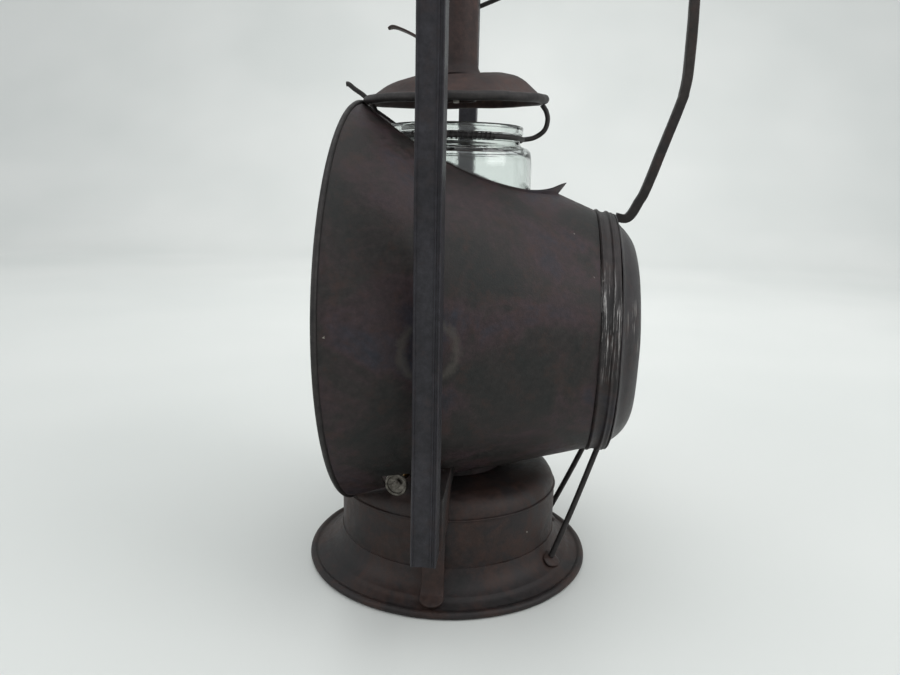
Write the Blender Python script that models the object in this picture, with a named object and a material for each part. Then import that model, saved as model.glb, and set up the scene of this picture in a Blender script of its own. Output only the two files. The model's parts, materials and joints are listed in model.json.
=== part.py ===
"""Railway inspector's hand lamp: hooded oil lantern with square air tubes, modelled in millimetres.

Origin: centre of the foot on the floor. +Z is up, -X is the way the hood opens, and the two
square air tubes stand on the -Y side (near) and the +Y side (far).
"""
import math

import bmesh
import bpy
from mathutils import Matrix, Vector

MM = 0.001

# ---------------------------------------------------------------- clearances and stock
GAP = 0.3              # clearance between pieces that touch
SHEET = 0.8            # tinned sheet thickness
ROUND = 36             # sides of a large turned piece
MEDIUM = 24            # sides of a middling one
SMALL = 16             # sides of a small turned piece
WIRE_SIDES = 6

# ---------------------------------------------------------------- foot and fount
FOOT_R = 75.8
FOOT_BEAD_R = 2.4
FOOT_STEP_R = 66.0
FOOT_STEP_Z = 7.5
FOOT_COLLAR_Z = 14.0
PLATE_T = 1.5
DRUM_R = 57.8
DRUM_TOP = 53.0
SHOULDER_R = 11.5
COLLAR_R = 18.0        # burner collar, outside
COLLAR_H = 2.5
FILLER_AZIMUTH = math.radians(60.0)
FILLER_TILT = math.radians(45.0)
FILLER_R = 7.5
FILLER_RISE = 6.0
FILLER_CAP_R = 10.0
FILLER_CAP_H = 8.0

# ---------------------------------------------------------------- hood
HOOD_MOUTH_R = 102.2
HOOD_MOUTH_LOW = 35.2   # lowest point of the mouth, above the floor
HOOD_MOUTH_X = -47.8
HOOD_MOUTH_Z = HOOD_MOUTH_LOW + HOOD_MOUTH_R
HOOD_REAR_R = 61.5
HOOD_REAR_X = 71.0
HOOD_REAR_Z = 126.8
HOOD_OPENING_X = 3.6   # centre of the cut-out over the globe
HOOD_OPENING_A = 48.6
HOOD_OPENING_B = 40.0
MOUTH_WIRE_IN = 1.2    # how far the mouth wire lies behind the edge, inside the cone
MOUTH_WIRE_R = 1.4
BAND_W = 9.3
BAND_BEAD = 0.9
CAP_R = 52.0
CAP_DEPTH = 10.6
REFLECTOR_DEPTH = 10.0

# ---------------------------------------------------------------- air tubes, ducts and crown
TUBE_X = -0.9
TUBE_W = 10.8
TUBE_D = 13.8
TUBE_WALL = 1.0
TUBE_RISE = 74.4       # top of the square tubes, above the top of the mouth
TUBE_TOP = HOOD_MOUTH_Z + HOOD_MOUTH_R + TUBE_RISE
DUCT_HALF_W = 6.5
DUCT_WALL = 1.0
DUCT_FLOOR = 2.0       # clearance of each duct over the drum's top
DUCT_RISE = 13.0       # top of each duct, above the drum's top
STRAP_W = 11.0
STRAP_T = 1.2
ELBOW_R = 30.0
ELBOW_LEAD = 2.0       # straight foot of each elbow, on top of its tube
CROWN_R = 24.0
CROWN_SKIRT = 3.5      # how far the crown cap reaches down over the chamber
CHIMNEY_R = 9.0
CHIMNEY_BOTTOM = HOOD_MOUTH_Z + HOOD_MOUTH_R + 24.4

# ---------------------------------------------------------------- burner
CHAMBER_R = 30.0
CHAMBER_H = 16.0       # above the drum's top
PLATE_R = 40.0
SHAFT_RISE = 6.6       # above the drum's top
SHAFT_R = 1.2
SHAFT_REACH = 60.0
SPUR_R = 3.9
WICK_W = 14.2
WICK_T = 1.6
WICK_RISE = 30.0       # above the drum's top
WICK_BOTTOM = 8.0
SHAFT_DIR = Vector((-0.24, -0.971, 0.0)).normalized()
WICK_NORMAL = Vector((0.971, -0.24, 0.0)).normalized()
WINDER_R = 5.8

# ---------------------------------------------------------------- globe, bell and its lift
GLOBE_NECK_R = 31.8
GLOBE_COLLAR_R = 33.3
GLOBE_BODY_R = 37.4
GLOBE_BULGE_R = 40.0
GLASS_T = 2.0
BELL_R = 46.2
BELL_BEAD_R = 2.1
BELL_OVER_HOOD = 1.0   # bell rim, above the top of the mouth
BELL_OVER_GLOBE = 13.1  # bell rim, above the top of the globe
BELL_RIM_Z = HOOD_MOUTH_Z + HOOD_MOUTH_R + BELL_OVER_HOOD
GLOBE_TOP = BELL_RIM_Z - BELL_OVER_GLOBE
BELL_FLAT_R = 24.0
BELL_TOP = BELL_RIM_Z + 11.2
NECK_WALL = 0.8
NECK_TOP = BELL_RIM_Z + 55.4
BAR_Z = BELL_RIM_Z + 1.0
ROD_R = 1.5
SPRING_R = 5.5
SPRING_WIRE = 0.6
SPRING_TURNS = 8
GUARD_WIRE_R = 1.25
GUARD_RING_DROP = 6.5  # guard ring, below the top of the globe
GUARD_COIL_WIRE = 0.35

# ---------------------------------------------------------------- handles and struts
STRUT_R = 1.5
HANDLE_W = 6.0
HANDLE_T = 4.5
HANDLE_KINK = 39.8     # where the handle turns upright, behind the band
HANDLE_KINK_RISE = 60.6
HANDLE_ROOT = 2.8      # where the handle starts, behind the front of the cap
HANDLE_SEAT = 3.8      # how far the cap stands out beyond its back edge, under the root
BAIL_WIRE_R = 1.4
BAIL_H = 98.0
BAIL_PIVOT_Z = TUBE_TOP - 8.0
BAIL_REST = math.radians(70.0)
EAR_STUD_R = 2.1

# ---------------------------------------------------------------- sizes that follow from the others
HOOD_SLOPE_R = (HOOD_REAR_R - HOOD_MOUTH_R) / (HOOD_REAR_X - HOOD_MOUTH_X)
HOOD_SLOPE_Z = (HOOD_REAR_Z - HOOD_MOUTH_Z) / (HOOD_REAR_X - HOOD_MOUTH_X)
DRUM_WALL_TOP = DRUM_TOP - SHOULDER_R
TUBE_BOTTOM = DRUM_WALL_TOP
DUCT_LOW = DRUM_WALL_TOP
DUCT_TOP = DRUM_TOP + DUCT_RISE
CHAMBER_TOP = DRUM_TOP + CHAMBER_H
SHAFT_Z = DRUM_TOP + SHAFT_RISE
WICK_TOP = DRUM_TOP + WICK_RISE
NECK_R = CHIMNEY_R + GAP + NECK_WALL
GUARD_RING_Z = GLOBE_TOP - GUARD_RING_DROP
TUBE_IN = HOOD_MOUTH_R + HOOD_SLOPE_R * (TUBE_X - TUBE_W / 2 - HOOD_MOUTH_X) + GAP
TUBE_MID = TUBE_IN + TUBE_D / 2
TUBE_OUT = TUBE_IN + TUBE_D
ELBOW_Z = TUBE_TOP + GAP + ELBOW_LEAD + ELBOW_R
CROWN_BOTTOM = ELBOW_Z - 16.0
CROWN_TOP = ELBOW_Z + TUBE_D / 2 + CROWN_SKIRT + 1.0
ROD_STOP_Z = CROWN_BOTTOM + 5.0
SHAFT_OFFSET = WICK_T / 2 + GAP + SPUR_R
SHAFT_START = WICK_NORMAL * -SHAFT_OFFSET + Vector((0, 0, SHAFT_Z))
BAND_X = HOOD_REAR_X + GAP
CAP_X = BAND_X + BAND_W + GAP
EAR_OFFSET = 3.1       # bail eye centre, out from the tube's face
BAIL_Y = TUBE_OUT + EAR_OFFSET


def hood_radius(x):
    """Outer radius of the hood cone at x."""
    return HOOD_MOUTH_R + HOOD_SLOPE_R * (x - HOOD_MOUTH_X)


def hood_centre(x):
    """Height of the hood's centre line at x: the cone sinks a little towards its rear."""
    return HOOD_MOUTH_Z + HOOD_SLOPE_Z * (x - HOOD_MOUTH_X)


# ---------------------------------------------------------------- materials
def metal(name, colour, roughness, metallic=0.6):
    mat = bpy.data.materials.new(name)
    mat.use_nodes = True
    shader = mat.node_tree.nodes["Principled BSDF"]
    shader.inputs["Base Color"].default_value = (*colour, 1.0)
    shader.inputs["Roughness"].default_value = roughness
    shader.inputs["Metallic"].default_value = metallic
    return mat


FINISHES = {
    "japanned": ((0.075, 0.060, 0.056), 0.55, 0.6),
    "tube_grey": ((0.070, 0.067, 0.078), 0.5, 0.6),
    "bell_brown": ((0.095, 0.065, 0.055), 0.6, 0.6),
    "dark_wire": ((0.035, 0.032, 0.033), 0.5, 0.6),
    "tinplate": ((0.42, 0.41, 0.39), 0.35, 1.0),
    "brass": ((0.45, 0.33, 0.15), 0.4, 1.0),
    "silvered": ((0.70, 0.70, 0.68), 0.2, 1.0),
    "cotton": ((0.60, 0.56, 0.46), 0.9, 0.0),
    "glass": ((0.85, 0.90, 0.90), 0.05, 0.0),
}


# ---------------------------------------------------------------- modelling helpers
def finish_mesh(name, bm, finish, place=None, smooth=True):
    """Turn a bmesh in millimetres into an object in metres with its own material."""
    bmesh.ops.remove_doubles(bm, verts=bm.verts, dist=1e-4)
    bmesh.ops.recalc_face_normals(bm, faces=bm.faces)
    bmesh.ops.scale(bm, vec=(MM, MM, MM), verts=bm.verts)
    mesh = bpy.data.meshes.new(name)
    bm.to_mesh(mesh)
    bm.free()
    obj = bpy.data.objects.new(name, mesh)
    bpy.context.scene.collection.objects.link(obj)
    if smooth:
        mesh.shade_smooth()
        mesh.set_sharp_from_angle(angle=math.radians(32))
    if finish:
        mesh.materials.append(metal(name, *FINISHES[finish]))
    if place is not None:
        obj.matrix_world = place
    return obj


def frame_at(origin, axis=(0, 0, 1), side=None):
    """Matrix that puts local Z along axis and the local origin at origin (mm)."""
    z = Vector(axis).normalized()
    x = Vector(side) if side is not None else z.orthogonal()
    x = (x - z * x.dot(z)).normalized()
    y = z.cross(x)
    turn = Matrix((x, y, z)).transposed().to_4x4()
    return Matrix.Translation(Vector(origin) * MM) @ turn


def arc(cx, cz, radius, start, end, steps):
    """Points on an arc, angles in degrees."""
    angles = [math.radians(start + (end - start) * i / steps) for i in range(steps + 1)]
    return [(cx + radius * math.cos(a), cz + radius * math.sin(a)) for a in angles]


def turned(name, profile, finish, place=None, sides=ROUND):
    """Spin a closed (radius, height) profile about local Z."""
    bm = bmesh.new()
    verts = [bm.verts.new((r, 0.0, h)) for r, h in profile]
    edges = [bm.edges.new((verts[i], verts[(i + 1) % len(verts)])) for i in range(len(verts))
             if not (profile[i][0] == 0 and profile[(i + 1) % len(verts)][0] == 0)]
    bmesh.ops.spin(bm, geom=verts + edges, axis=(0, 0, 1), cent=(0, 0, 0),
                   angle=math.tau, steps=sides, use_merge=True)
    return finish_mesh(name, bm, finish, place)


def shell_rings(bm, rings, closed_path=False):
    """Bridge consecutive rings of vertices, and cap the two ends when the path is open."""
    rows = [[bm.verts.new(p) for p in ring] for ring in rings]
    count = len(rows[0])
    pairs = list(zip(rows, rows[1:]))
    if closed_path:
        pairs.append((rows[-1], rows[0]))
    for lower, upper in pairs:
        for i in range(count):
            j = (i + 1) % count
            bm.faces.new((lower[i], lower[j], upper[j], upper[i]))
    if not closed_path:
        bm.faces.new(rows[0][::-1])
        bm.faces.new(rows[-1])


def sweep_frames(points, closed_path):
    """Tangents and a steady side vector along a path."""
    pts = [Vector(p) for p in points]
    count = len(pts)
    tangents = []
    for i in range(count):
        before = pts[i - 1] if (i > 0 or closed_path) else pts[i]
        after = pts[(i + 1) % count] if (i < count - 1 or closed_path) else pts[i]
        tangents.append((after - before).normalized())
    return pts, tangents


def wire(name, points, radius, finish, sides=WIRE_SIDES, closed_path=False, place=None):
    """Round wire along a path, carried without twist."""
    pts, tangents = sweep_frames(points, closed_path)
    side = tangents[0].orthogonal().normalized()
    rings = []
    for point, tangent in zip(pts, tangents):
        side = (side - tangent * side.dot(tangent)).normalized()
        other = tangent.cross(side)
        rings.append([point + (side * math.cos(math.tau * k / sides)
                               + other * math.sin(math.tau * k / sides)) * radius
                      for k in range(sides)])
    bm = bmesh.new()
    shell_rings(bm, rings, closed_path)
    return finish_mesh(name, bm, finish, place)


def bar(name, points, width, thickness, finish, across=(0, 1, 0), place=None):
    """Rectangular bar along a flat path; across is the direction of its width."""
    pts, tangents = sweep_frames(points, False)
    wide = Vector(across).normalized()
    rings = []
    for i, point in enumerate(pts):
        normal = tangents[i].cross(wide).normalized()
        leg = (pts[i + 1] - point) if i < len(pts) - 1 else (point - pts[i - 1])
        stretch = 1.0 / max(0.5, leg.normalized().cross(wide).dot(normal))
        a = wide * width / 2
        b = normal * thickness / 2 * stretch
        rings.append([point + a + b, point - a + b, point - a - b, point + a - b])
    bm = bmesh.new()
    shell_rings(bm, rings)
    return finish_mesh(name, bm, finish, place, smooth=False)


def block(name, low, high, finish=None, place=None):
    """Rectangular block between two corners."""
    bm = bmesh.new()
    bmesh.ops.create_cube(bm, size=1.0)
    size = [b - a for a, b in zip(low, high)]
    mid = [(a + b) / 2 for a, b in zip(low, high)]
    bmesh.ops.scale(bm, vec=size, verts=bm.verts)
    bmesh.ops.translate(bm, vec=mid, verts=bm.verts)
    return finish_mesh(name, bm, finish, place, smooth=False)


def prism(name, outline, low_x, high_x, finish=None):
    """Extrude a (y, z) outline along X."""
    bm = bmesh.new()
    face = bm.faces.new([bm.verts.new((low_x, y, z)) for y, z in outline])
    grown = bmesh.ops.extrude_face_region(bm, geom=[face])
    moved = [v for v in grown["geom"] if isinstance(v, bmesh.types.BMVert)]
    bmesh.ops.translate(bm, vec=(high_x - low_x, 0, 0), verts=moved)
    return finish_mesh(name, bm, finish, None, smooth=False)


def rod(name, start, end, radius, finish=None, sides=WIRE_SIDES):
    """Straight round bar between two points."""
    start, end = Vector(start), Vector(end)
    bm = bmesh.new()
    bmesh.ops.create_cone(bm, cap_ends=True, segments=sides, radius1=radius, radius2=radius,
                          depth=(end - start).length)
    return finish_mesh(name, bm, finish, frame_at((start + end) / 2, end - start))


def combine(obj, other, operation):
    """Boolean with a hidden helper solid."""
    other.hide_render = True
    other.display_type = "WIRE"
    modifier = obj.modifiers.new(other.name, "BOOLEAN")
    modifier.operation = operation
    modifier.solver = "EXACT"
    modifier.object = other


def cut(obj, *cutters):
    for cutter in cutters:
        combine(obj, cutter, "DIFFERENCE")


def fuse(obj, *extras):
    for extra in extras:
        combine(obj, extra, "UNION")


def side_name(sign):
    return "near" if sign < 0 else "far"


# ---------------------------------------------------------------- foot and fount
def make_foot():
    inner = DRUM_R + GAP
    rim = FOOT_R - FOOT_BEAD_R
    profile = [(0, 0), (61, 0), (62.5, 5.5), (FOOT_STEP_R, 5.0), (70.5, 3.2), (71.5, 0), (rim, 0)]
    profile += arc(rim, FOOT_BEAD_R, FOOT_BEAD_R, -45, 110, 5)
    profile += [(rim - 2.6, 4.2), (68.0, 5.4), (FOOT_STEP_R, FOOT_STEP_Z), (63.2, 8.4),
                (61.0, 10.2), (59.8, FOOT_COLLAR_Z), (inner, FOOT_COLLAR_Z),
                (inner, PLATE_T), (0, PLATE_T)]
    turned("foot_flange", profile, "japanned")


def filler_frame():
    """Frame on the drum's shoulder, tilted outwards."""
    out = Vector((math.cos(FILLER_AZIMUTH), math.sin(FILLER_AZIMUTH), 0))
    axis = out * math.sin(FILLER_TILT) + Vector((0, 0, math.cos(FILLER_TILT)))
    ring = DRUM_R - SHOULDER_R
    point = out * (ring + SHOULDER_R * math.sin(FILLER_TILT))
    point.z = DRUM_WALL_TOP + SHOULDER_R * math.cos(FILLER_TILT)
    return point, axis


def make_fount():
    ring = DRUM_R - SHOULDER_R
    low = DRUM_WALL_TOP
    profile = [(DRUM_R, PLATE_T + GAP)] + arc(ring, low, SHOULDER_R, 0, 90, 6)
    profile += [(COLLAR_R, DRUM_TOP), (COLLAR_R, DRUM_TOP + COLLAR_H),
                (COLLAR_R - SHEET, DRUM_TOP + COLLAR_H), (COLLAR_R - SHEET, DRUM_TOP - SHEET)]
    profile += arc(ring, low, SHOULDER_R - SHEET, 90, 0, 6) + [(DRUM_R - SHEET, PLATE_T + GAP)]
    drum = turned("fount_drum", profile, "japanned")
    point, axis = filler_frame()
    cut(drum, rod("filler_hole", point - axis * 9, point + axis * 9, FILLER_R + GAP, sides=SMALL))
    collar = [(FILLER_R - 1, -4), (FILLER_R, -4), (FILLER_R, FILLER_RISE), (FILLER_R - 1, FILLER_RISE)]
    turned("filler_collar", collar, "japanned", frame_at(point, axis), SMALL)
    inside = FILLER_R + GAP
    low_edge = FILLER_RISE - 5.0
    top = low_edge + FILLER_CAP_H
    cap = [(inside, low_edge), (FILLER_CAP_R, low_edge), (FILLER_CAP_R, top - 1.2),
           (FILLER_CAP_R - 1.2, top), (0, top), (0, top - 1.5), (inside, top - 1.5)]
    turned("filler_cap", cap, "brass", frame_at(point, axis), SMALL)


# ---------------------------------------------------------------- hood and reflector
def hood_cone(name, inset, start_x, end_x):
    rings = []
    for x in (start_x, end_x):
        radius = hood_radius(x) - inset
        angles = [math.tau * k / ROUND for k in range(ROUND)]
        rings.append([(x, radius * math.sin(a), hood_centre(x) + radius * math.cos(a)) for a in angles])
    bm = bmesh.new()
    shell_rings(bm, rings)
    return bm


def fount_clearance_cutter(name):
    """Turned body a little larger than the fount, the air chamber and the globe plate."""
    spare = 1.2
    ring = DRUM_R - SHOULDER_R
    low = DRUM_WALL_TOP
    profile = [(0, 5), (DRUM_R + spare, 5)] + arc(ring, low, SHOULDER_R + spare, 0, 90, 6)
    profile += [(PLATE_R + 2, DRUM_TOP + spare), (PLATE_R + 2, CHAMBER_TOP + 6), (0, CHAMBER_TOP + 6)]
    return turned(name, profile, None)


def make_hood():
    hood = finish_mesh("hood_shell", hood_cone("hood", 0, HOOD_MOUTH_X, HOOD_REAR_X), "japanned")
    core = hood_cone("core", SHEET, HOOD_MOUTH_X - 5, HOOD_REAR_X + 5)
    cut(hood, finish_mesh("hood_core", core, None))
    bm = bmesh.new()
    bmesh.ops.create_cone(bm, cap_ends=True, segments=ROUND, radius1=1, radius2=1, depth=110)
    bmesh.ops.scale(bm, vec=(HOOD_OPENING_A, HOOD_OPENING_B, 1), verts=bm.verts)
    bmesh.ops.translate(bm, vec=(HOOD_OPENING_X, 0, 225), verts=bm.verts)
    cut(hood, finish_mesh("hood_top_opening", bm, None))
    cut(hood, fount_clearance_cutter("hood_floor_opening"))
    spare = 1.2
    cut(hood, block("duct_notch", (-DUCT_HALF_W - spare, -TUBE_IN, 20),
                    (DUCT_HALF_W + spare, TUBE_IN, DUCT_TOP + spare)))
    wheel = SHAFT_START + SHAFT_DIR * (SHAFT_REACH + 2)
    reach = WINDER_R + spare
    cut(hood, block("winder_notch", (wheel.x - reach, wheel.y - 9, 20),
                    (wheel.x + reach, -20, SHAFT_Z + reach - 1)))

    bead_x = HOOD_MOUTH_X + MOUTH_WIRE_IN
    bead_r = hood_radius(bead_x + MOUTH_WIRE_R) - SHEET - GAP - MOUTH_WIRE_R
    ring = [(bead_x, bead_r * math.sin(math.tau * k / ROUND),
             hood_centre(bead_x) + bead_r * math.cos(math.tau * k / ROUND)) for k in range(ROUND)]
    bead = wire("hood_mouth_wire", ring, MOUTH_WIRE_R, "dark_wire", closed_path=True)
    cut(bead, fount_clearance_cutter("bead_floor_opening"))


def rear_frame(x):
    return frame_at((x, 0, hood_centre(x)), (1, 0, 0))


def make_reflector_end():
    outer = HOOD_REAR_R
    inner = outer - 3.0
    bead = BAND_BEAD
    band = [(inner, 0), (outer, 0), (outer + bead, 1.2), (outer, 2.6), (outer - 0.6, 4.6),
            (outer + bead * 0.5, 6.0), (outer - 0.8, 7.4), (outer - 0.2, BAND_W), (inner, BAND_W)]
    turned("rear_band", band, "japanned", rear_frame(BAND_X))
    rim = outer - 0.8
    cap = [(rim, 0), (CAP_R + 5, 1.5), (CAP_R + 3.2, 3.5), (CAP_R + 1.6, 5.7), (CAP_R - 0.6, CAP_DEPTH - 2.7),
           (CAP_R - 3.6, CAP_DEPTH - 0.9), (CAP_R - 8, CAP_DEPTH + 0.1), (CAP_R * 0.5, CAP_DEPTH + 1.2),
           (0, CAP_DEPTH + 1.6), (0, CAP_DEPTH + 0.8), (CAP_R * 0.5, CAP_DEPTH + 0.4),
           (CAP_R - 8.4, CAP_DEPTH - 0.8), (CAP_R - 4.6, CAP_DEPTH - 1.7), (CAP_R - 1.8, CAP_DEPTH - 3.4),
           (CAP_R + 0.4, 5.1), (CAP_R + 2.0, 3.1), (CAP_R + 3.8, 1.3), (rim - 4, 0)]
    turned("reflector_cap", cap, "japanned", rear_frame(CAP_X))
    dish_r = inner - GAP
    steps = 6
    front = [(dish_r * (1 - i / steps), REFLECTOR_DEPTH * (1 - (1 - i / steps) ** 2)) for i in range(steps + 1)]
    back = [(r, h + 0.8) for r, h in reversed(front)]
    turned("reflector", front + back, "silvered", rear_frame(BAND_X + 1.0))


# ---------------------------------------------------------------- air tubes, ducts and straps
def make_tube(sign):
    name = side_name(sign)
    half = TUBE_W / 2
    low = (TUBE_X - half, min(sign * TUBE_IN, sign * TUBE_OUT), TUBE_BOTTOM)
    high = (TUBE_X + half, max(sign * TUBE_IN, sign * TUBE_OUT), TUBE_TOP)
    tube = block(name + "_air_tube", low, high, "tube_grey")
    wall = TUBE_WALL
    cut(tube, block(name + "_tube_bore", (low[0] + wall, low[1] + wall, low[2] + wall),
                    (high[0] - wall, high[1] - wall, high[2] + 10)))
    port = port_cutter(name + "_tube_port", sign)
    cut(tube, port)

    ring = DRUM_R - SHOULDER_R
    wall = DUCT_WALL
    end = TUBE_IN - GAP
    floor = DRUM_TOP + DUCT_FLOOR
    outline = [(end, DUCT_LOW)] + arc(ring, DRUM_WALL_TOP, SHOULDER_R + 0.9, 0, 75, 5)
    outline += [(ring - 2, floor), (CHAMBER_R + GAP, floor), (CHAMBER_R + GAP, DUCT_TOP), (end, DUCT_TOP)]
    inner = [(end - wall, DUCT_LOW + wall)] + arc(ring, DRUM_WALL_TOP + wall, SHOULDER_R + 0.9 + wall / 2, 0, 70, 5)
    inner += [(ring - 2, floor + wall), (CHAMBER_R - 2, floor + wall),
              (CHAMBER_R - 2, DUCT_TOP - wall), (end - wall, DUCT_TOP - wall)]
    left = TUBE_X - DUCT_HALF_W
    right = TUBE_X + DUCT_HALF_W
    duct = prism(name + "_elbow_duct", [(sign * y, z) for y, z in outline], left, right, "japanned")
    cut(duct, prism(name + "_duct_bore", [(sign * y, z) for y, z in inner], left + wall, right - wall))
    cut(duct, port_cutter(name + "_duct_port", sign))

    off = STRAP_T / 2 + GAP
    leg = DRUM_R + off + 0.1
    flange = [(FOOT_STEP_R + 6.2, 5.2), (FOOT_STEP_R + 2.2, 5.8), (FOOT_STEP_R, 8.2), (FOOT_STEP_R - 2.6, 9.2),
              (FOOT_STEP_R - 4.6, 11.2), (FOOT_STEP_R - 5.8, FOOT_COLLAR_Z + 1), (leg, FOOT_COLLAR_Z + 9)]
    path = [(TUBE_X, sign * r, z + off) for r, z in flange] + [(TUBE_X, sign * leg, DUCT_LOW - GAP)]
    bar(name + "_tube_strap", path, STRAP_W, STRAP_T, "japanned", across=(1, 0, 0))


def port_cutter(name, sign):
    """Opening through the tube's inner face and the duct's end wall."""
    ys = sorted((sign * (TUBE_IN - 3), sign * (TUBE_IN + 2)))
    half = TUBE_W / 2 - TUBE_WALL
    return block(name, (TUBE_X - half, ys[0], DUCT_LOW + 2), (TUBE_X + half, ys[1], DUCT_TOP - 2))


def rect_duct(name, points, half_x, half_n, wall, finish):
    """Open-ended rectangular duct along a path in the YZ plane."""
    pts, tangents = sweep_frames(points, False)
    outer, inner = [], []
    for i, (point, tangent) in enumerate(zip(pts, tangents)):
        side = Vector((1, 0, 0))
        normal = tangent.cross(side).normalized()
        for rows, thin, reach in ((outer, 0, 0), (inner, wall, 1)):
            spot = point
            if reach and i == 0:
                spot = point - tangent * reach
            if reach and i == len(pts) - 1:
                spot = point + tangent * reach
            a, b = side * (half_x - thin), normal * (half_n - thin)
            rows.append([spot + a + b, spot - a + b, spot - a - b, spot + a - b])
    shapes = []
    for rows, label, look in ((outer, name, finish), (inner, name + "_bore", None)):
        bm = bmesh.new()
        shell_rings(bm, rows)
        shapes.append(finish_mesh(label, bm, look, smooth=False))
    cut(shapes[0], shapes[1])


def make_crown():
    for sign in (-1, 1):
        name = side_name(sign)
        centre_y = TUBE_MID - ELBOW_R
        foot = [(TUBE_MID, TUBE_TOP + GAP)]
        bend = foot + arc(centre_y, TUBE_TOP + GAP + ELBOW_LEAD, ELBOW_R, 0, 90, 6)
        path = [(TUBE_X, sign * y, z) for y, z in bend] + [(TUBE_X, sign * (CROWN_R + GAP), ELBOW_Z)]
        rect_duct(name + "_crown_elbow", path, TUBE_W / 2, TUBE_D / 2, TUBE_WALL, "tube_grey")
    hole = CHIMNEY_R + GAP
    shell = [(hole, CROWN_BOTTOM), (CROWN_R, CROWN_BOTTOM), (CROWN_R, CROWN_TOP),
             (CROWN_R - SHEET, CROWN_TOP), (CROWN_R - SHEET, CROWN_BOTTOM + SHEET), (hole, CROWN_BOTTOM + SHEET)]
    chamber = turned("crown_chamber", shell, "bell_brown", sides=MEDIUM)
    cut(chamber, block("crown_port", (TUBE_X - 5, -CROWN_R - 3, ELBOW_Z - 5.5),
                       (TUBE_X + 5, CROWN_R + 3, ELBOW_Z + 5.5)))
    skirt = CROWN_R + GAP + 0.1
    top = CROWN_TOP + 14
    cap = [(skirt, CROWN_TOP - CROWN_SKIRT), (skirt + SHEET, CROWN_TOP - CROWN_SKIRT), (skirt + SHEET, CROWN_TOP + 1.6),
           (CROWN_R - 2, CROWN_TOP + 7), (CROWN_R / 2, top - 2), (0, top), (0, top - SHEET),
           (CROWN_R / 2 - 0.2, top - 2 - SHEET), (CROWN_R - 2.5, CROWN_TOP + 6.2), (skirt, CROWN_TOP + 1.3)]
    lid = turned("crown_cap", cap, "bell_brown", sides=MEDIUM)
    for k in range(6):
        turn = math.tau * (k + 0.5) / 6
        spot = Vector((math.cos(turn) * 17, math.sin(turn) * 17, CROWN_TOP + 8))
        cut(lid, rod("crown_vent_%d" % k, spot - Vector((0, 0, 6)), spot + Vector((0, 0, 6)), 2.2))
    tube = [(CHIMNEY_R - SHEET, CHIMNEY_BOTTOM), (CHIMNEY_R, CHIMNEY_BOTTOM),
            (CHIMNEY_R, CROWN_BOTTOM + 4), (CHIMNEY_R - SHEET, CROWN_BOTTOM + 4)]
    turned("chimney_tube", tube, "tinplate", sides=MEDIUM)
    rod_profile = [(0, BAR_Z - 2), (ROD_R, BAR_Z - 2), (ROD_R, ROD_STOP_Z), (7, ROD_STOP_Z),
                   (7, ROD_STOP_Z + 1.5), (ROD_R, ROD_STOP_Z + 1.5), (ROD_R, top - SHEET - GAP),
                   (0, top - SHEET - GAP)]
    turned("spring_rod", rod_profile, "tinplate", sides=12)


# ---------------------------------------------------------------- burner
def burner_frame(height):
    """Local X along the wick's width, local Y across its thickness."""
    return frame_at((0, 0, height), (0, 0, 1), SHAFT_DIR)


def shaft_cutter(name):
    return rod(name, SHAFT_START + SHAFT_DIR * 5, SHAFT_START + SHAFT_DIR * 40, SHAFT_R + GAP, sides=12)


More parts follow.
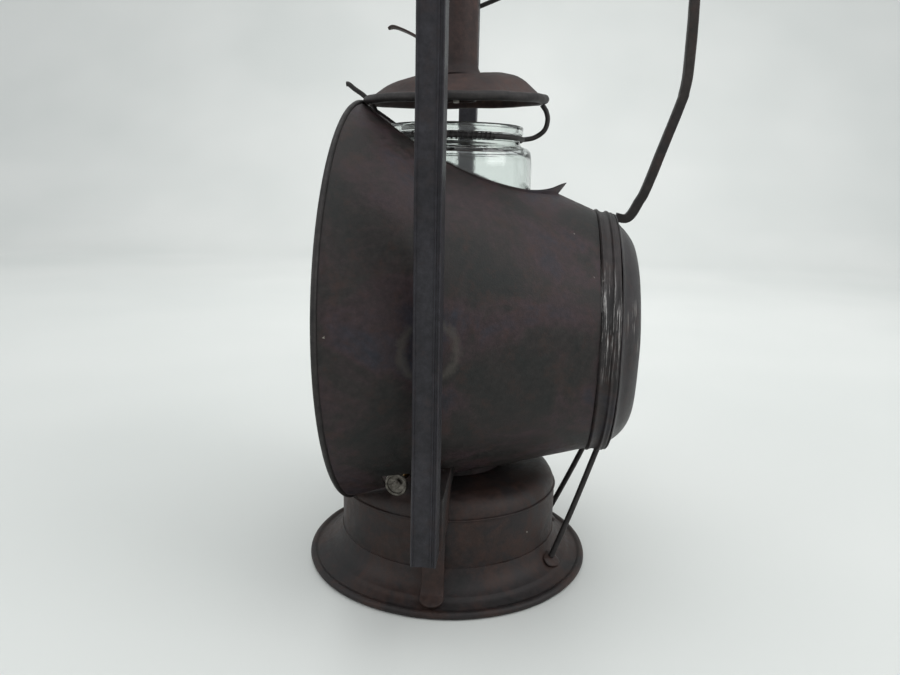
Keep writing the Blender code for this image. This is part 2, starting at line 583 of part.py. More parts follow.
def make_burner():
    wall = [(CHAMBER_R - SHEET, DRUM_TOP + GAP), (CHAMBER_R, DRUM_TOP + GAP),
            (CHAMBER_R, CHAMBER_TOP), (CHAMBER_R - SHEET, CHAMBER_TOP)]
    chamber = turned("air_chamber", wall, "japanned", sides=MEDIUM)
    half = DUCT_HALF_W - DUCT_WALL
    cut(chamber, block("chamber_ports", (TUBE_X - half, -CHAMBER_R - 3, DRUM_TOP + DUCT_FLOOR + DUCT_WALL),
                       (TUBE_X + half, CHAMBER_R + 3, DUCT_TOP - DUCT_WALL)), shaft_cutter("chamber_shaft_hole"))
    base = CHAMBER_TOP + GAP
    plate = [(19, base), (PLATE_R, base), (PLATE_R, base + 3.2), (PLATE_R - 0.8, base + 3.2),
             (PLATE_R - 0.8, base + 1.2), (19, base + 1.2)]
    disc = turned("globe_plate", plate, "brass", sides=MEDIUM)
    for k in range(8):
        turn = math.tau * k / 8
        spot = Vector((math.cos(turn) * 25, math.sin(turn) * 25, base))
        cut(disc, rod("draught_hole_%d" % k, spot - Vector((0, 0, 4)), spot + Vector((0, 0, 4)), 2.2))

    spigot = COLLAR_R - SHEET - GAP
    seat = DRUM_TOP + COLLAR_H + GAP
    body_top = CHAMBER_TOP - 2
    body = [(0, seat - 1.9), (spigot - 1, seat - 1.9), (spigot - 1, seat - 4.3), (spigot, seat - 4.3),
            (spigot, seat), (20, seat), (20, seat + 1.2), (14, seat + 1.2), (14, body_top),
            (13, body_top), (13, seat - 0.9), (0, seat - 0.9)]
    burner = turned("burner_body", body, "brass", sides=MEDIUM)
    tube_w = WICK_W + 2 * GAP + 1.6
    tube_t = WICK_T + 2 * GAP + 1.2
    cut(burner, block("burner_slot", (-tube_w / 2 - GAP, -tube_t / 2 - GAP, -10),
                      (tube_w / 2 + GAP, tube_t / 2 + GAP, 10), place=burner_frame(seat)))
    cut(burner, shaft_cutter("burner_shaft_hole"))
    low, high = DRUM_TOP - 10, WICK_TOP - 2
    tube = block("wick_tube", (-tube_w / 2, -tube_t / 2, low), (tube_w / 2, tube_t / 2, high), "brass",
                 place=burner_frame(0))
    cut(tube, block("wick_tube_bore", (-WICK_W / 2 - GAP, -WICK_T / 2 - GAP, low - 5),
                    (WICK_W / 2 + GAP, WICK_T / 2 + GAP, high + 5), place=burner_frame(0)))
    face = 1 if WICK_NORMAL.dot(Vector((0, 0, 1)).cross(SHAFT_DIR)) < 0 else -1
    ys = sorted((face * 0.9, face * 4.0))
    cut(tube, block("wheel_window", (-3.4, ys[0], SHAFT_Z - 4.2), (3.4, ys[1], SHAFT_Z + 4.2),
                    place=burner_frame(0)))
    block("wick", (-WICK_W / 2, -WICK_T / 2, WICK_BOTTOM), (WICK_W / 2, WICK_T / 2, WICK_TOP), "cotton",
          place=burner_frame(0))
    base = body_top + GAP
    cone = [(13.2, base), (18.2, base), (18.2, base + 0.8), (17, base + 1.7), (15.5, base + 8.7),
            (12, base + 15.7), (9, base + 18.3), (0, base + 19.3), (0, base + 18.5), (8.6, base + 17.5),
            (11.3, base + 15.1), (14.7, base + 8.5), (16.1, base + 0.9), (13.2, base + 0.8)]
    dome = turned("burner_cone", cone, "brass", sides=MEDIUM)
    cut(dome, block("flame_slot", (-8.9, -2.4, WICK_TOP - 5), (8.9, 2.4, WICK_TOP + 10),
                    place=burner_frame(0)))


def make_winder():
    axis = SHAFT_DIR
    shaft = [(0, -5), (SHAFT_R, -5), (SHAFT_R, SHAFT_REACH), (0, SHAFT_REACH)]
    turned("winder_shaft", shaft, "brass", frame_at(SHAFT_START, axis), 12)
    bm = bmesh.new()
    teeth = 12
    outline = []
    for k in range(teeth * 2):
        radius = SPUR_R if k % 2 else SPUR_R - 0.8
        outline.append((radius * math.cos(math.pi * k / teeth), radius * math.sin(math.pi * k / teeth)))
    shell_rings(bm, [[(x, y, h) for x, y in outline] for h in (-2.5, 2.5)])
    spur = finish_mesh("spur_wheel", bm, "brass", frame_at(SHAFT_START, axis), smooth=False)
    cut(spur, rod("spur_bore", SHAFT_START - axis * 6, SHAFT_START + axis * 6, SHAFT_R + GAP, sides=12))
    h = SHAFT_REACH + GAP
    rim = WINDER_R - 1.4
    wheel = [(0, h), (2.2, h), (2.2, h + 0.8), (rim, h + 0.8), (rim, h), (WINDER_R - 0.4, h),
             (WINDER_R, h + 0.4), (WINDER_R, h + 1.8), (WINDER_R - 0.4, h + 2.2), (rim, h + 2.2),
             (rim, h + 1.6), (1.8, h + 1.6), (1.8, h + 2.4), (0, h + 2.4)]
    knob = turned("winder_wheel", wheel, "tinplate", frame_at(SHAFT_START, axis), SMALL)
    fuse(knob, block("winder_tab", (-2.6, -1.5, h + 1.1), (2.6, 1.5, h + 3.2),
                     place=frame_at(SHAFT_START, axis)))


# ---------------------------------------------------------------- globe, bell and the lift
def make_globe():
    bottom = CHAMBER_TOP + GAP + 1.5
    glass = GLASS_T
    waist = bottom + 94
    shoulder = GLOBE_TOP - 18
    neck = GLOBE_TOP - 10
    outer = [(GLOBE_BODY_R - 1.6, bottom), (GLOBE_BULGE_R - 2, bottom + 8), (GLOBE_BULGE_R - 0.4, bottom + 30),
             (GLOBE_BULGE_R, bottom + 62), (GLOBE_BULGE_R - 0.6, waist), (GLOBE_BODY_R + 1.0, shoulder - 12),
             (GLOBE_BODY_R, shoulder), (GLOBE_BODY_R - 1.8, shoulder + 4.5), (GLOBE_NECK_R + 0.8, neck - 1.5),
             (GLOBE_NECK_R, neck), (GLOBE_NECK_R, GLOBE_TOP - 4.6), (GLOBE_COLLAR_R, GLOBE_TOP - 4),
             (GLOBE_COLLAR_R, GLOBE_TOP - 0.6), (GLOBE_COLLAR_R - 0.6, GLOBE_TOP)]
    inner = [(GLOBE_COLLAR_R - 2.4, GLOBE_TOP), (GLOBE_NECK_R - glass, GLOBE_TOP - 2),
             (GLOBE_NECK_R - glass, neck - 1), (GLOBE_BODY_R - 4.2, shoulder + 3.2),
             (GLOBE_BODY_R - glass, shoulder - 1), (GLOBE_BODY_R + 1.0 - glass, shoulder - 12),
             (GLOBE_BULGE_R - 0.6 - glass, waist), (GLOBE_BULGE_R - glass, bottom + 62),
             (GLOBE_BULGE_R - 0.4 - glass, bottom + 30), (GLOBE_BULGE_R - 2 - glass, bottom + 8.6),
             (GLOBE_BODY_R - 1.6 - glass, bottom)]
    turned("globe", outer + inner, "glass")


def make_bell():
    rim_c = BELL_R - BELL_BEAD_R
    hole = NECK_R + GAP
    profile = [(hole, BELL_TOP), (BELL_FLAT_R - 3, BELL_TOP), (BELL_FLAT_R, BELL_TOP - 0.5)]
    profile += arc(rim_c, BELL_RIM_Z, BELL_BEAD_R, 80, -170, 10)
    profile += [(BELL_FLAT_R - 0.3, BELL_TOP - 1.4), (BELL_FLAT_R - 3, BELL_TOP - SHEET), (hole, BELL_TOP - SHEET)]
    bell = turned("bell", profile, "bell_brown")
    slot = GUARD_WIRE_R + GAP + 0.3
    cut(bell, block("finger_tab_slot", (-BELL_R - 4, -slot, BELL_RIM_Z - 8), (6 - BELL_R, slot, BELL_TOP)))
    top = BELL_TOP + GAP
    inside = CHIMNEY_R + GAP
    neck = [(inside, BAR_Z - 1), (NECK_R, BAR_Z - 1), (NECK_R, top), (NECK_R + 3, top), (NECK_R + 1.2, top + 2.2),
            (NECK_R, top + 5.5), (NECK_R, NECK_TOP), (inside, NECK_TOP)]
    turned("bell_neck", neck, "bell_brown", sides=MEDIUM)
    root = -NECK_R - GAP - 0.5
    steps = ((0, 6.4), (0, 12), (2.4, 14.6), (10.8, 19.6), (17.2, 22.4), (23.6, 23))
    path = [(root - out, 0, BELL_TOP + up) for out, up in steps]
    bar("thumb_tab", path, 7.0, 0.9, "bell_brown")
    half = math.sqrt((inside - GAP) ** 2 - 2.5 ** 2)
    seat = block("spring_bar", (-half, -2.5, BAR_Z), (half, 2.5, BAR_Z + 1), "tinplate")
    cut(seat, rod("rod_hole", (0, 0, BAR_Z - 3), (0, 0, BAR_Z + 4), ROD_R + GAP, sides=12))
    low = BAR_Z + 1 + GAP + SPRING_WIRE
    high = ROD_STOP_Z - GAP - SPRING_WIRE
    steps = SPRING_TURNS * 8
    coil = [(SPRING_R * math.cos(math.tau * k / 8), SPRING_R * math.sin(math.tau * k / 8),
             low + (high - low) * k / steps) for k in range(steps + 1)]
    wire("bell_spring", coil, SPRING_WIRE, "tinplate", sides=4)


def make_guard():
    coil_r = GUARD_WIRE_R + GAP + GUARD_COIL_WIRE
    ring_r = GLOBE_NECK_R + 0.2 + coil_r + GUARD_COIL_WIRE
    rim = BELL_R
    tab = [(-rim - 9.8, 0, BELL_RIM_Z + 7.4), (-rim - 5.8, 0, BELL_RIM_Z + 4.8), (-rim - 0.4, 0, BELL_RIM_Z + 1.8),
           (4.6 - rim, 0, BELL_RIM_Z - 3.8), (6.8 - rim, 0, GUARD_RING_Z + 7), (8.4 - rim, 0, GUARD_RING_Z + 1.6)]
    near = [(-ring_r * math.cos(math.radians(a)), -ring_r * math.sin(math.radians(a)), GUARD_RING_Z)
            for a in range(4, 177, 12)]
    loop = [(rim - 6.6, 0, GUARD_RING_Z + 1.2), (rim - 1.6, 0, GUARD_RING_Z + 4.6), (rim - 0.2, 0, BELL_RIM_Z - 10.2),
            (rim - 1.2, 0, BELL_RIM_Z - 6.0), (rim - 3.4, 0, BELL_RIM_Z - BELL_BEAD_R - GAP - 0.6)]
    wire("guard_wire_near", tab + near + loop, GUARD_WIRE_R, "dark_wire")
    far = [(-ring_r * math.cos(math.radians(a)), ring_r * math.sin(math.radians(a)), GUARD_RING_Z)
           for a in range(8, 173, 12)]
    wire("guard_wire_far", far, GUARD_WIRE_R, "dark_wire")
    turns = 6
    steps = turns * 6
    start, end = math.radians(92), math.radians(112)
    coil = []
    for k in range(steps + 1):
        along = start + (end - start) * k / steps
        twist = math.tau * turns * k / steps
        reach = ring_r + coil_r * math.cos(twist)
        coil.append((-reach * math.cos(along), -reach * math.sin(along), GUARD_RING_Z + coil_r * math.sin(twist)))
    wire("guard_spring", coil, GUARD_COIL_WIRE, "tinplate", sides=4)


# ---------------------------------------------------------------- struts, handle and bail
def make_struts():
    mid = BAND_X + BAND_W / 2
    for name, foot, top in (("near_strut", (56.8, -27.0), (1.0, -19.0)), ("far_strut", (56.8, 27.0), (2.2, 17.0))):
        reach = math.hypot(*foot)
        base_z = FOOT_STEP_Z + 1.4 + STRUT_R * 0.6 + (FOOT_STEP_R - reach) * 0.6
        under = HOOD_REAR_R + BAND_BEAD + GAP + STRUT_R
        band_z = hood_centre(mid) - math.sqrt(under ** 2 - top[1] ** 2)
        rod(name, (foot[0], foot[1], base_z), (mid + top[0], top[1], band_z), STRUT_R, "dark_wire")


def make_handle():
    half = HANDLE_T / 2
    seat_z = hood_centre(CAP_X) + CAP_R + HANDLE_SEAT + half + GAP
    root_x = CAP_X + HANDLE_ROOT
    kink_x = BAND_X + HANDLE_KINK
    rest_z = BAIL_PIVOT_Z + BAIL_H * math.cos(BAIL_REST) - BAIL_WIRE_R - half - GAP
    rest_x = TUBE_X + BAIL_H * math.sin(BAIL_REST)
    path = [(root_x, seat_z), (root_x + 3.9, seat_z + 0.2), (root_x + 7.2, seat_z + 4.2), (root_x + 12.4, seat_z + 14.6),
            (kink_x, seat_z + HANDLE_KINK_RISE), (kink_x + 1.2, seat_z + HANDLE_KINK_RISE + 8),
            (kink_x + 1.2, BAIL_PIVOT_Z - 6), (rest_x + 10, rest_z - 4),
            (rest_x + 4, rest_z), (rest_x - 30, rest_z),
            (CROWN_R + GAP + 0.4, ELBOW_Z)]
    bar("rear_handle", [(x, 0, z) for x, z in path], HANDLE_W, HANDLE_T, "dark_wire")


def make_bail():
    for sign in (-1, 1):
        stud = [(0, GAP), (4.5, GAP), (4.5, 1.1), (EAR_STUD_R, 1.1), (EAR_STUD_R, 5.0), (3.6, 5.0), (3.6, 6.0), (0, 6.0)]
        turned(side_name(sign) + "_bail_ear", stud, "tube_grey",
               frame_at((TUBE_X, sign * TUBE_OUT, BAIL_PIVOT_Z), (0, sign, 0)), SMALL)
    lean = Vector((math.sin(BAIL_REST), 0, math.cos(BAIL_REST)))
    place = frame_at((TUBE_X, 0, BAIL_PIVOT_Z), lean, (0, 1, 0))
    start = 2.2
    steps = 28
    path = []
    for k in range(steps + 1):
        a = math.radians(start + (180 - 2 * start) * k / steps)
        path.append((-BAIL_Y * math.cos(a), 0, BAIL_H * math.sin(a)))
    bail = wire("bail", path, BAIL_WIRE_R, "dark_wire", place=place)
    inner = EAR_STUD_R + 0.4
    eye = [(inner, -1.3), (inner + 2.6, -1.3), (inner + 2.6, 1.3), (inner, 1.3)]
    for sign in (-1, 1):
        ring = turned(side_name(sign) + "_bail_eye", eye, None,
                      frame_at((TUBE_X, sign * BAIL_Y, BAIL_PIVOT_Z), (0, 1, 0)), SMALL)
        fuse(bail, ring)


def build():
    for obj in list(bpy.data.objects):
        bpy.data.objects.remove(obj, do_unlink=True)
    make_foot()
    make_fount()
    make_hood()
    make_reflector_end()
    for sign in (-1, 1):
        make_tube(sign)
    make_crown()
    make_burner()
    make_winder()
    make_globe()
    make_bell()
    make_guard()
    make_struts()
    make_handle()
    make_bail()


build()
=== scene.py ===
# %% [markdown]
# # A railway inspector's oil lantern
#
# The lantern was made of tinned sheet iron, japanned (coated with a baked black varnish) and
# then left in a damp shed for some decades. This lesson rebuilds its visible skin around a
# packed working model, the frame, which already knows every size and every joint.
#
# Sizes are in metres because the frame is, so a helper turns millimetres into metres.

# %% Load the frame
import json
import math

import bmesh
import bpy
from mathutils import Matrix, Vector, noise


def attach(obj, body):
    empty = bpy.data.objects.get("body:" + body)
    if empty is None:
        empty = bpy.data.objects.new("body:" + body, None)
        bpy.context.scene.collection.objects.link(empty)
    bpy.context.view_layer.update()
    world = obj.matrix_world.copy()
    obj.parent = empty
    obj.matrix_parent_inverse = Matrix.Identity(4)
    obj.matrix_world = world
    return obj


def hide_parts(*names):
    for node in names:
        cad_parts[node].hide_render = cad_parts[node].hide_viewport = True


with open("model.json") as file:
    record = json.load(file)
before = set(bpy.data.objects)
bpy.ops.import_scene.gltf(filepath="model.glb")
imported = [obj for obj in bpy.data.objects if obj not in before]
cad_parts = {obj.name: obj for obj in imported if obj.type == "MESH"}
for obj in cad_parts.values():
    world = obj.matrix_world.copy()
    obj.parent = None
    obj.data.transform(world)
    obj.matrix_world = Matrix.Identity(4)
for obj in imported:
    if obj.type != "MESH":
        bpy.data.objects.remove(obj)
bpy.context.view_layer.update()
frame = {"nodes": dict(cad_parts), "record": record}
NODES = frame["nodes"]
MM = 0.001


def mm(*values):
    """Millimetres to metres, as a vector when there are several."""
    scaled = [value * MM for value in values]
    return Vector(scaled) if len(scaled) > 1 else scaled[0]


# %% [markdown]
# ## Colours and nodes
#
# Finishes are given as sRGB hex colours, but shaders work in linear light, so one
# function converts. A second one adds a shader node, sets it up and wires it, which keeps each
# material below short enough to read as a recipe.

# %% Colour and node helpers
def srgb(code, alpha=1.0):
    """A hex colour such as "#453d3c" as linear RGBA."""
    parts = [int(code[i:i + 2], 16) / 255 for i in (1, 3, 5)]
    linear = [p / 12.92 if p <= 0.04045 else ((p + 0.055) / 1.055) ** 2.4 for p in parts]
    return (*linear, alpha)


def add(tree, kind, inputs=None, **settings):
    """One node. inputs gives each socket a value, or another node's output socket to link."""
    node = tree.nodes.new(kind)
    for key, value in settings.items():
        setattr(node, key, value)
    for key, value in (inputs or {}).items():
        if isinstance(value, bpy.types.NodeSocket):
            tree.links.new(value, node.inputs[key])
        else:
            node.inputs[key].default_value = value
    return node


def ramp(tree, factor, stops):
    """A colour ramp whose stops are (position, hex colour or grey value)."""
    node = add(tree, "ShaderNodeValToRGB", {"Fac": factor})
    marks = node.color_ramp.elements
    while len(marks) < len(stops):
        marks.new(0.5)
    for mark, (position, colour) in zip(marks, stops):
        mark.position = position
        mark.color = srgb(colour) if isinstance(colour, str) else (colour, colour, colour, 1)
    return node


def new_material(name):
    """An empty Principled material: its tree, its shader and its Object coordinates."""
    material = bpy.data.materials.new(name)
    material.use_nodes = True
    tree = material.node_tree
    shader = tree.nodes["Principled BSDF"]
    where = add(tree, "ShaderNodeTexCoord").outputs["Object"]
    return material, tree, shader, where


print("helpers ready")

# %% [markdown]
# ## The old japanned sheet
#
# Black japan starts as a glossy baked varnish. Age turns it brown-black and uneven: patches a
# few centimetres wide drift from olive to red-brown, fine rust mottles it, and knocks leave
# small bright chips where the tin shows. Roughness rises where the varnish has gone. Layers of
# noise of those real sizes, read from Object coordinates so that nothing slides, give all that.

# %% Aged japan
def per(size):
    """Noise scale for a pattern about size millimetres across."""
    return 1.0 / (size * MM)


def aged_japan(name, tones, rust="#3a2823", chip="#8a867e", chips=0.6, rough=(0.42, 0.64), seed=0.0):
    """Varnished tinplate after a century: four patch tones, rust, chips and a dulled surface."""
    material, tree, shader, where = new_material(name)
    spot = add(tree, "ShaderNodeMapping", {"Vector": where, "Location": (seed, seed * 0.7, -seed)}).outputs[0]
    wide = add(tree, "ShaderNodeTexNoise", {"Vector": spot, "Scale": per(34), "Detail": 5.0,
                                            "Roughness": 0.62, "Distortion": 0.6})
    patch = ramp(tree, wide.outputs["Fac"], [(0.34, tones[0]), (0.46, tones[1]), (0.55, tones[2]),
                                            (0.68, tones[3])])
    fine = add(tree, "ShaderNodeTexNoise", {"Vector": spot, "Scale": per(3.2), "Detail": 6.0, "Roughness": 0.7})
    shade = ramp(tree, fine.outputs["Fac"], [(0.3, 0.6), (0.5, 0.98), (0.72, 1.5)])
    mottled = add(tree, "ShaderNodeMix", {0: 1.0, 6: patch.outputs[0], 7: shade.outputs[0]},
                  data_type="RGBA", blend_type="MULTIPLY")
    bloom = add(tree, "ShaderNodeTexNoise", {"Vector": spot, "Scale": per(9), "Detail": 8.0, "Roughness": 0.75})
    rusted = ramp(tree, bloom.outputs["Fac"], [(0.52, 0.0), (0.7, 0.6)])
    rusty = add(tree, "ShaderNodeMix", {0: rusted.outputs[0], 6: mottled.outputs[2], 7: srgb(rust)},
                data_type="RGBA")
    cells = add(tree, "ShaderNodeTexVoronoi", {"Vector": spot, "Scale": per(15), "Randomness": 1.0})
    ragged = add(tree, "ShaderNodeTexNoise", {"Vector": spot, "Scale": per(1.6), "Detail": 3.0})
    edge = add(tree, "ShaderNodeMath", {0: ragged.outputs["Fac"], 1: 0.22}, operation="MULTIPLY")
    near = add(tree, "ShaderNodeMath", {0: cells.outputs["Distance"], 1: edge.outputs[0]}, operation="ADD")
    chipped = ramp(tree, near.outputs[0], [(0.1 + 0.03 * chips, 1.0), (0.115 + 0.03 * chips, 0.0)])
    colour = add(tree, "ShaderNodeMix", {0: chipped.outputs[0], 6: rusty.outputs[2], 7: srgb(chip)},
                 data_type="RGBA")
    tree.links.new(colour.outputs[2], shader.inputs["Base Color"])
    dull = add(tree, "ShaderNodeMapRange", {"Value": fine.outputs["Fac"], "From Min": 0.3, "From Max": 0.7,
                                            "To Min": rough[0], "To Max": rough[1]})
    tree.links.new(dull.outputs[0], shader.inputs["Roughness"])
    grain = add(tree, "ShaderNodeTexNoise", {"Vector": spot, "Scale": per(0.9), "Detail": 4.0, "Roughness": 0.7})
    relief = add(tree, "ShaderNodeMath", {0: grain.outputs["Fac"], 1: bloom.outputs["Fac"]}, operation="ADD")
    bump = add(tree, "ShaderNodeBump", {"Height": relief.outputs[0], "Strength": 0.35, "Distance": 0.25 * MM})
    tree.links.new(bump.outputs[0], shader.inputs["Normal"])
    shader.inputs["Metallic"].default_value = 0.08
    shader.inputs["IOR"].default_value = 1.5
    shader.inputs["Specular IOR Level"].default_value = 0.28
    return material


HOOD_JAPAN = aged_japan("aged_hood_japan", ("#1f201f", "#282423", "#33282a", "#27272e"), seed=0.0)
TUBE_JAPAN = aged_japan("aged_tube_japan", ("#212023", "#262529", "#2a292d", "#2e2d31"),
                        rust="#332b2b", chips=0.5, rough=(0.4, 0.56), seed=3.1)
FOOT_JAPAN = aged_japan("aged_foot_japan", ("#1d1c1c", "#252020", "#30231f", "#2a2727"), chips=0.7, seed=5.7)
BAND_JAPAN = aged_japan("worn_band_japan_painted_highlight", ("#222121", "#282525", "#2f2a2a", "#2b2a2f"), chips=0.5, seed=9.1)
CAP_JAPAN = aged_japan("satin_cap_japan_painted_highlight", ("#232122", "#282526", "#2d2a2b", "#312f30"),
                       chips=0.3, rough=(0.36, 0.5), seed=12.4)
HANDLE_JAPAN = aged_japan("worn_handle_japan", ("#1e1c1c", "#242121", "#2a2624", "#312c2a"),
                          chips=0.3, seed=14.9)
BELL_JAPAN = aged_japan("rusted_bell_japan", ("#2c2423", "#372b29", "#42322e", "#322d2e"),
                        rust="#44302a", chips=0.2, rough=(0.5, 0.75), seed=8.3)
print("japan finishes:", [m.name for m in (HOOD_JAPAN, TUBE_JAPAN, FOOT_JAPAN, BELL_JAPAN)])

# %% [markdown]
# ## A painted highlight, and where solder has marked it
#
# Two kinds of mark sit in definite places. A painted highlight lies on the band and the cap, on the
# upper near side that faces the camera, in streaks that run round the piece. And where the tube was soldered to
# the hood, a ring of grey flux remains. Each is a mask made from Object coordinates, mixed over
# the finish beneath, with noise to break its edge.

# %% Painted highlight streaks and a solder ring
def lay_over(material, mask, colour, roughness=None):
    """Mix a colour over a finished material where the mask is white."""
    tree = material.node_tree
    shader = tree.nodes["Principled BSDF"]
    below = shader.inputs["Base Color"].links[0].from_socket
    mixed = add(tree, "ShaderNodeMix", {0: mask, 6: below, 7: srgb(colour)}, data_type="RGBA")
    tree.links.new(mixed.outputs[2], shader.inputs["Base Color"])
    if roughness is not None:
        dull = shader.inputs["Roughness"].links[0].from_socket
        smooth = add(tree, "ShaderNodeMix", {0: mask, 2: dull, 3: roughness}, data_type="FLOAT")
        tree.links.new(smooth.outputs[0], shader.inputs["Roughness"])


def painted_highlight_streaks(material, middle, reach, colour, strength, x_fine=0.35):
    """A painted highlight in bright, smoother streaks round a piece, within reach of a point in millimetres."""
    tree = material.node_tree
    where = add(tree, "ShaderNodeTexCoord").outputs["Object"]
    away = add(tree, "ShaderNodeVectorMath", {0: where, 1: mm(*middle)}, operation="DISTANCE").outputs["Value"]
    area = add(tree, "ShaderNodeMapRange", {"Value": away, "From Min": reach * 0.35 * MM, "From Max": reach * MM,
                                            "To Min": strength, "To Max": 0.0})
    long_way = add(tree, "ShaderNodeMapping", {"Vector": where, "Scale": (1 / x_fine, 0.12, 0.12)}).outputs[0]
    streak = add(tree, "ShaderNodeTexNoise", {"Vector": long_way, "Scale": per(2.4), "Detail": 5.0, "Roughness": 0.7})
    bright = ramp(tree, streak.outputs["Fac"], [(0.53, 0.0), (0.64, 1.0)])
    mask = add(tree, "ShaderNodeMath", {0: bright.outputs[0], 1: area.outputs[0]}, operation="MULTIPLY")
    lay_over(material, mask.outputs[0], colour, 0.3)


def solder_ring(material, middle, radius, width, colour):
    """A broken ring of flux round a point in millimetres."""
    tree = material.node_tree
    where = add(tree, "ShaderNodeTexCoord").outputs["Object"]
    ragged = add(tree, "ShaderNodeTexNoise", {"Vector": where, "Scale": per(5), "Detail": 6.0, "Roughness": 0.7})
    away = add(tree, "ShaderNodeVectorMath", {0: where, 1: mm(*middle)}, operation="DISTANCE").outputs["Value"]
    shifted = add(tree, "ShaderNodeMath", {0: ragged.outputs["Fac"], 1: 7 * MM, 2: away}, operation="MULTIPLY_ADD")
    off = add(tree, "ShaderNodeMath", {0: shifted.outputs[0], 1: (radius + 3.5) * MM}, operation="SUBTRACT")
    far = add(tree, "ShaderNodeMath", {0: off.outputs[0]}, operation="ABSOLUTE")
    band = add(tree, "ShaderNodeMapRange", {"Value": far.outputs[0], "From Min": 0.0, "From Max": width * MM,
                                            "To Min": 0.55, "To Max": 0.0})
    lay_over(material, band.outputs[0], colour)


# painted highlight: bright, smoother streaks on the upper near side of the band and of the cap, facing the camera
painted_highlight_streaks(BAND_JAPAN, (72, -60, 142), 30, "#b0adab", 0.9)
painted_highlight_streaks(CAP_JAPAN, (91, -47, 138), 13, "#a09c97", 0.8, 0.6)
solder_ring(HOOD_JAPAN, (-1, -88, 131), 12.5, 3.0, "#4f4b45")
print("marks laid over the band, cap and hood")

# %% [markdown]
# ## Wire, bare tin, brass, silver, cotton and glass
#
# Steel wire that has oxidised is nearly black with brown grains. Tinplate that never had
# varnish keeps a soft grey shine with dull patches. Burner brass is tarnished, the reflector is
# silvered and slightly cloudy, the wick is a woven ribbon, and the globe is clear glass.

# %% Metals, cotton and glass
def dull_metal(name, light, dark, roughness, metallic, size, bump=0.2):
    """Bare metal that has dulled: two tones in patches of a given size, with a fine grain."""
    material, tree, shader, where = new_material(name)
    wide = add(tree, "ShaderNodeTexNoise", {"Vector": where, "Scale": per(size), "Detail": 6.0, "Roughness": 0.7})
    tone = ramp(tree, wide.outputs["Fac"], [(0.36, dark), (0.62, light)])
    tree.links.new(tone.outputs[0], shader.inputs["Base Color"])
    dull = add(tree, "ShaderNodeMapRange", {"Value": wide.outputs["Fac"], "From Min": 0.35, "From Max": 0.65,
                                            "To Min": roughness + 0.15, "To Max": roughness})
    tree.links.new(dull.outputs[0], shader.inputs["Roughness"])
    grain = add(tree, "ShaderNodeTexNoise", {"Vector": where, "Scale": per(0.5), "Detail": 3.0})
    raised = add(tree, "ShaderNodeBump", {"Height": grain.outputs["Fac"], "Strength": bump, "Distance": 0.12 * MM})
    tree.links.new(raised.outputs[0], shader.inputs["Normal"])
    shader.inputs["Metallic"].default_value = metallic
    return material


DARK_WIRE = dull_metal("oxidised_steel_wire", "#2b2726", "#1b1919", 0.48, 0.3, 4)
TINPLATE = dull_metal("dulled_tinplate", "#b4b0a8", "#7d776f", 0.34, 1.0, 9)
# the winder wheel's tin, in darker tones than the bare tinplate
WINDER_TIN = dull_metal("darker_winder_tin", "#6f6b64", "#38342f", 0.42, 0.9, 3)
BRASS = dull_metal("tarnished_burner_brass", "#b08d4e", "#5f4a2c", 0.36, 1.0, 6)
SILVER = dull_metal("silvered_reflector", "#e4e2dc", "#c3bfb6", 0.14, 1.0, 18, bump=0.05)


def cotton():
    """Flat woven wick: threads about a millimetre apart, drawn by a fine wave that runs one way, along Z."""
    material, tree, shader, where = new_material("woven_wick_cotton")
    across = add(tree, "ShaderNodeTexWave", {"Vector": where, "Scale": per(1.0) / 20, "Distortion": 1.0},
                 bands_direction="Z")
    tone = ramp(tree, across.outputs["Fac"], [(0.2, "#a89f88"), (0.8, "#d9d0b8")])
    tree.links.new(tone.outputs[0], shader.inputs["Base Color"])
    bump = add(tree, "ShaderNodeBump", {"Height": across.outputs["Fac"], "Strength": 0.6, "Distance": 0.3 * MM})
    tree.links.new(bump.outputs[0], shader.inputs["Normal"])
    shader.inputs["Roughness"].default_value = 0.95
    return material


def clear_glass():
    """Old blown soda glass: clear, faintly grey-green, with dust that roughens it in patches."""
    material, tree, shader, where = new_material("blown_soda_glass")
    dust = add(tree, "ShaderNodeTexNoise", {"Vector": where, "Scale": per(12), "Detail": 6.0, "Roughness": 0.7})
    film = add(tree, "ShaderNodeMapRange", {"Value": dust.outputs["Fac"], "From Min": 0.45, "From Max": 0.75,
                                            "To Min": 0.01, "To Max": 0.12})
    tree.links.new(film.outputs[0], shader.inputs["Roughness"])
    ripple = add(tree, "ShaderNodeBump", {"Height": dust.outputs["Fac"], "Strength": 0.15, "Distance": 0.4 * MM})
    tree.links.new(ripple.outputs[0], shader.inputs["Normal"])
    shader.inputs["Base Color"].default_value = srgb("#f4f8f6")
    shader.inputs["Transmission Weight"].default_value = 1.0
    shader.inputs["IOR"].default_value = 1.5
    return material


COTTON = cotton()
GLASS = clear_glass()
print("bare metals, cotton and glass ready")

# %% [markdown]
# ## Giving every frame node a finish
#
# Some small inner pieces are good enough as they come from the frame and only need a material.
# The rest get one too, so nothing is ever bare; the larger ones are replaced further on.

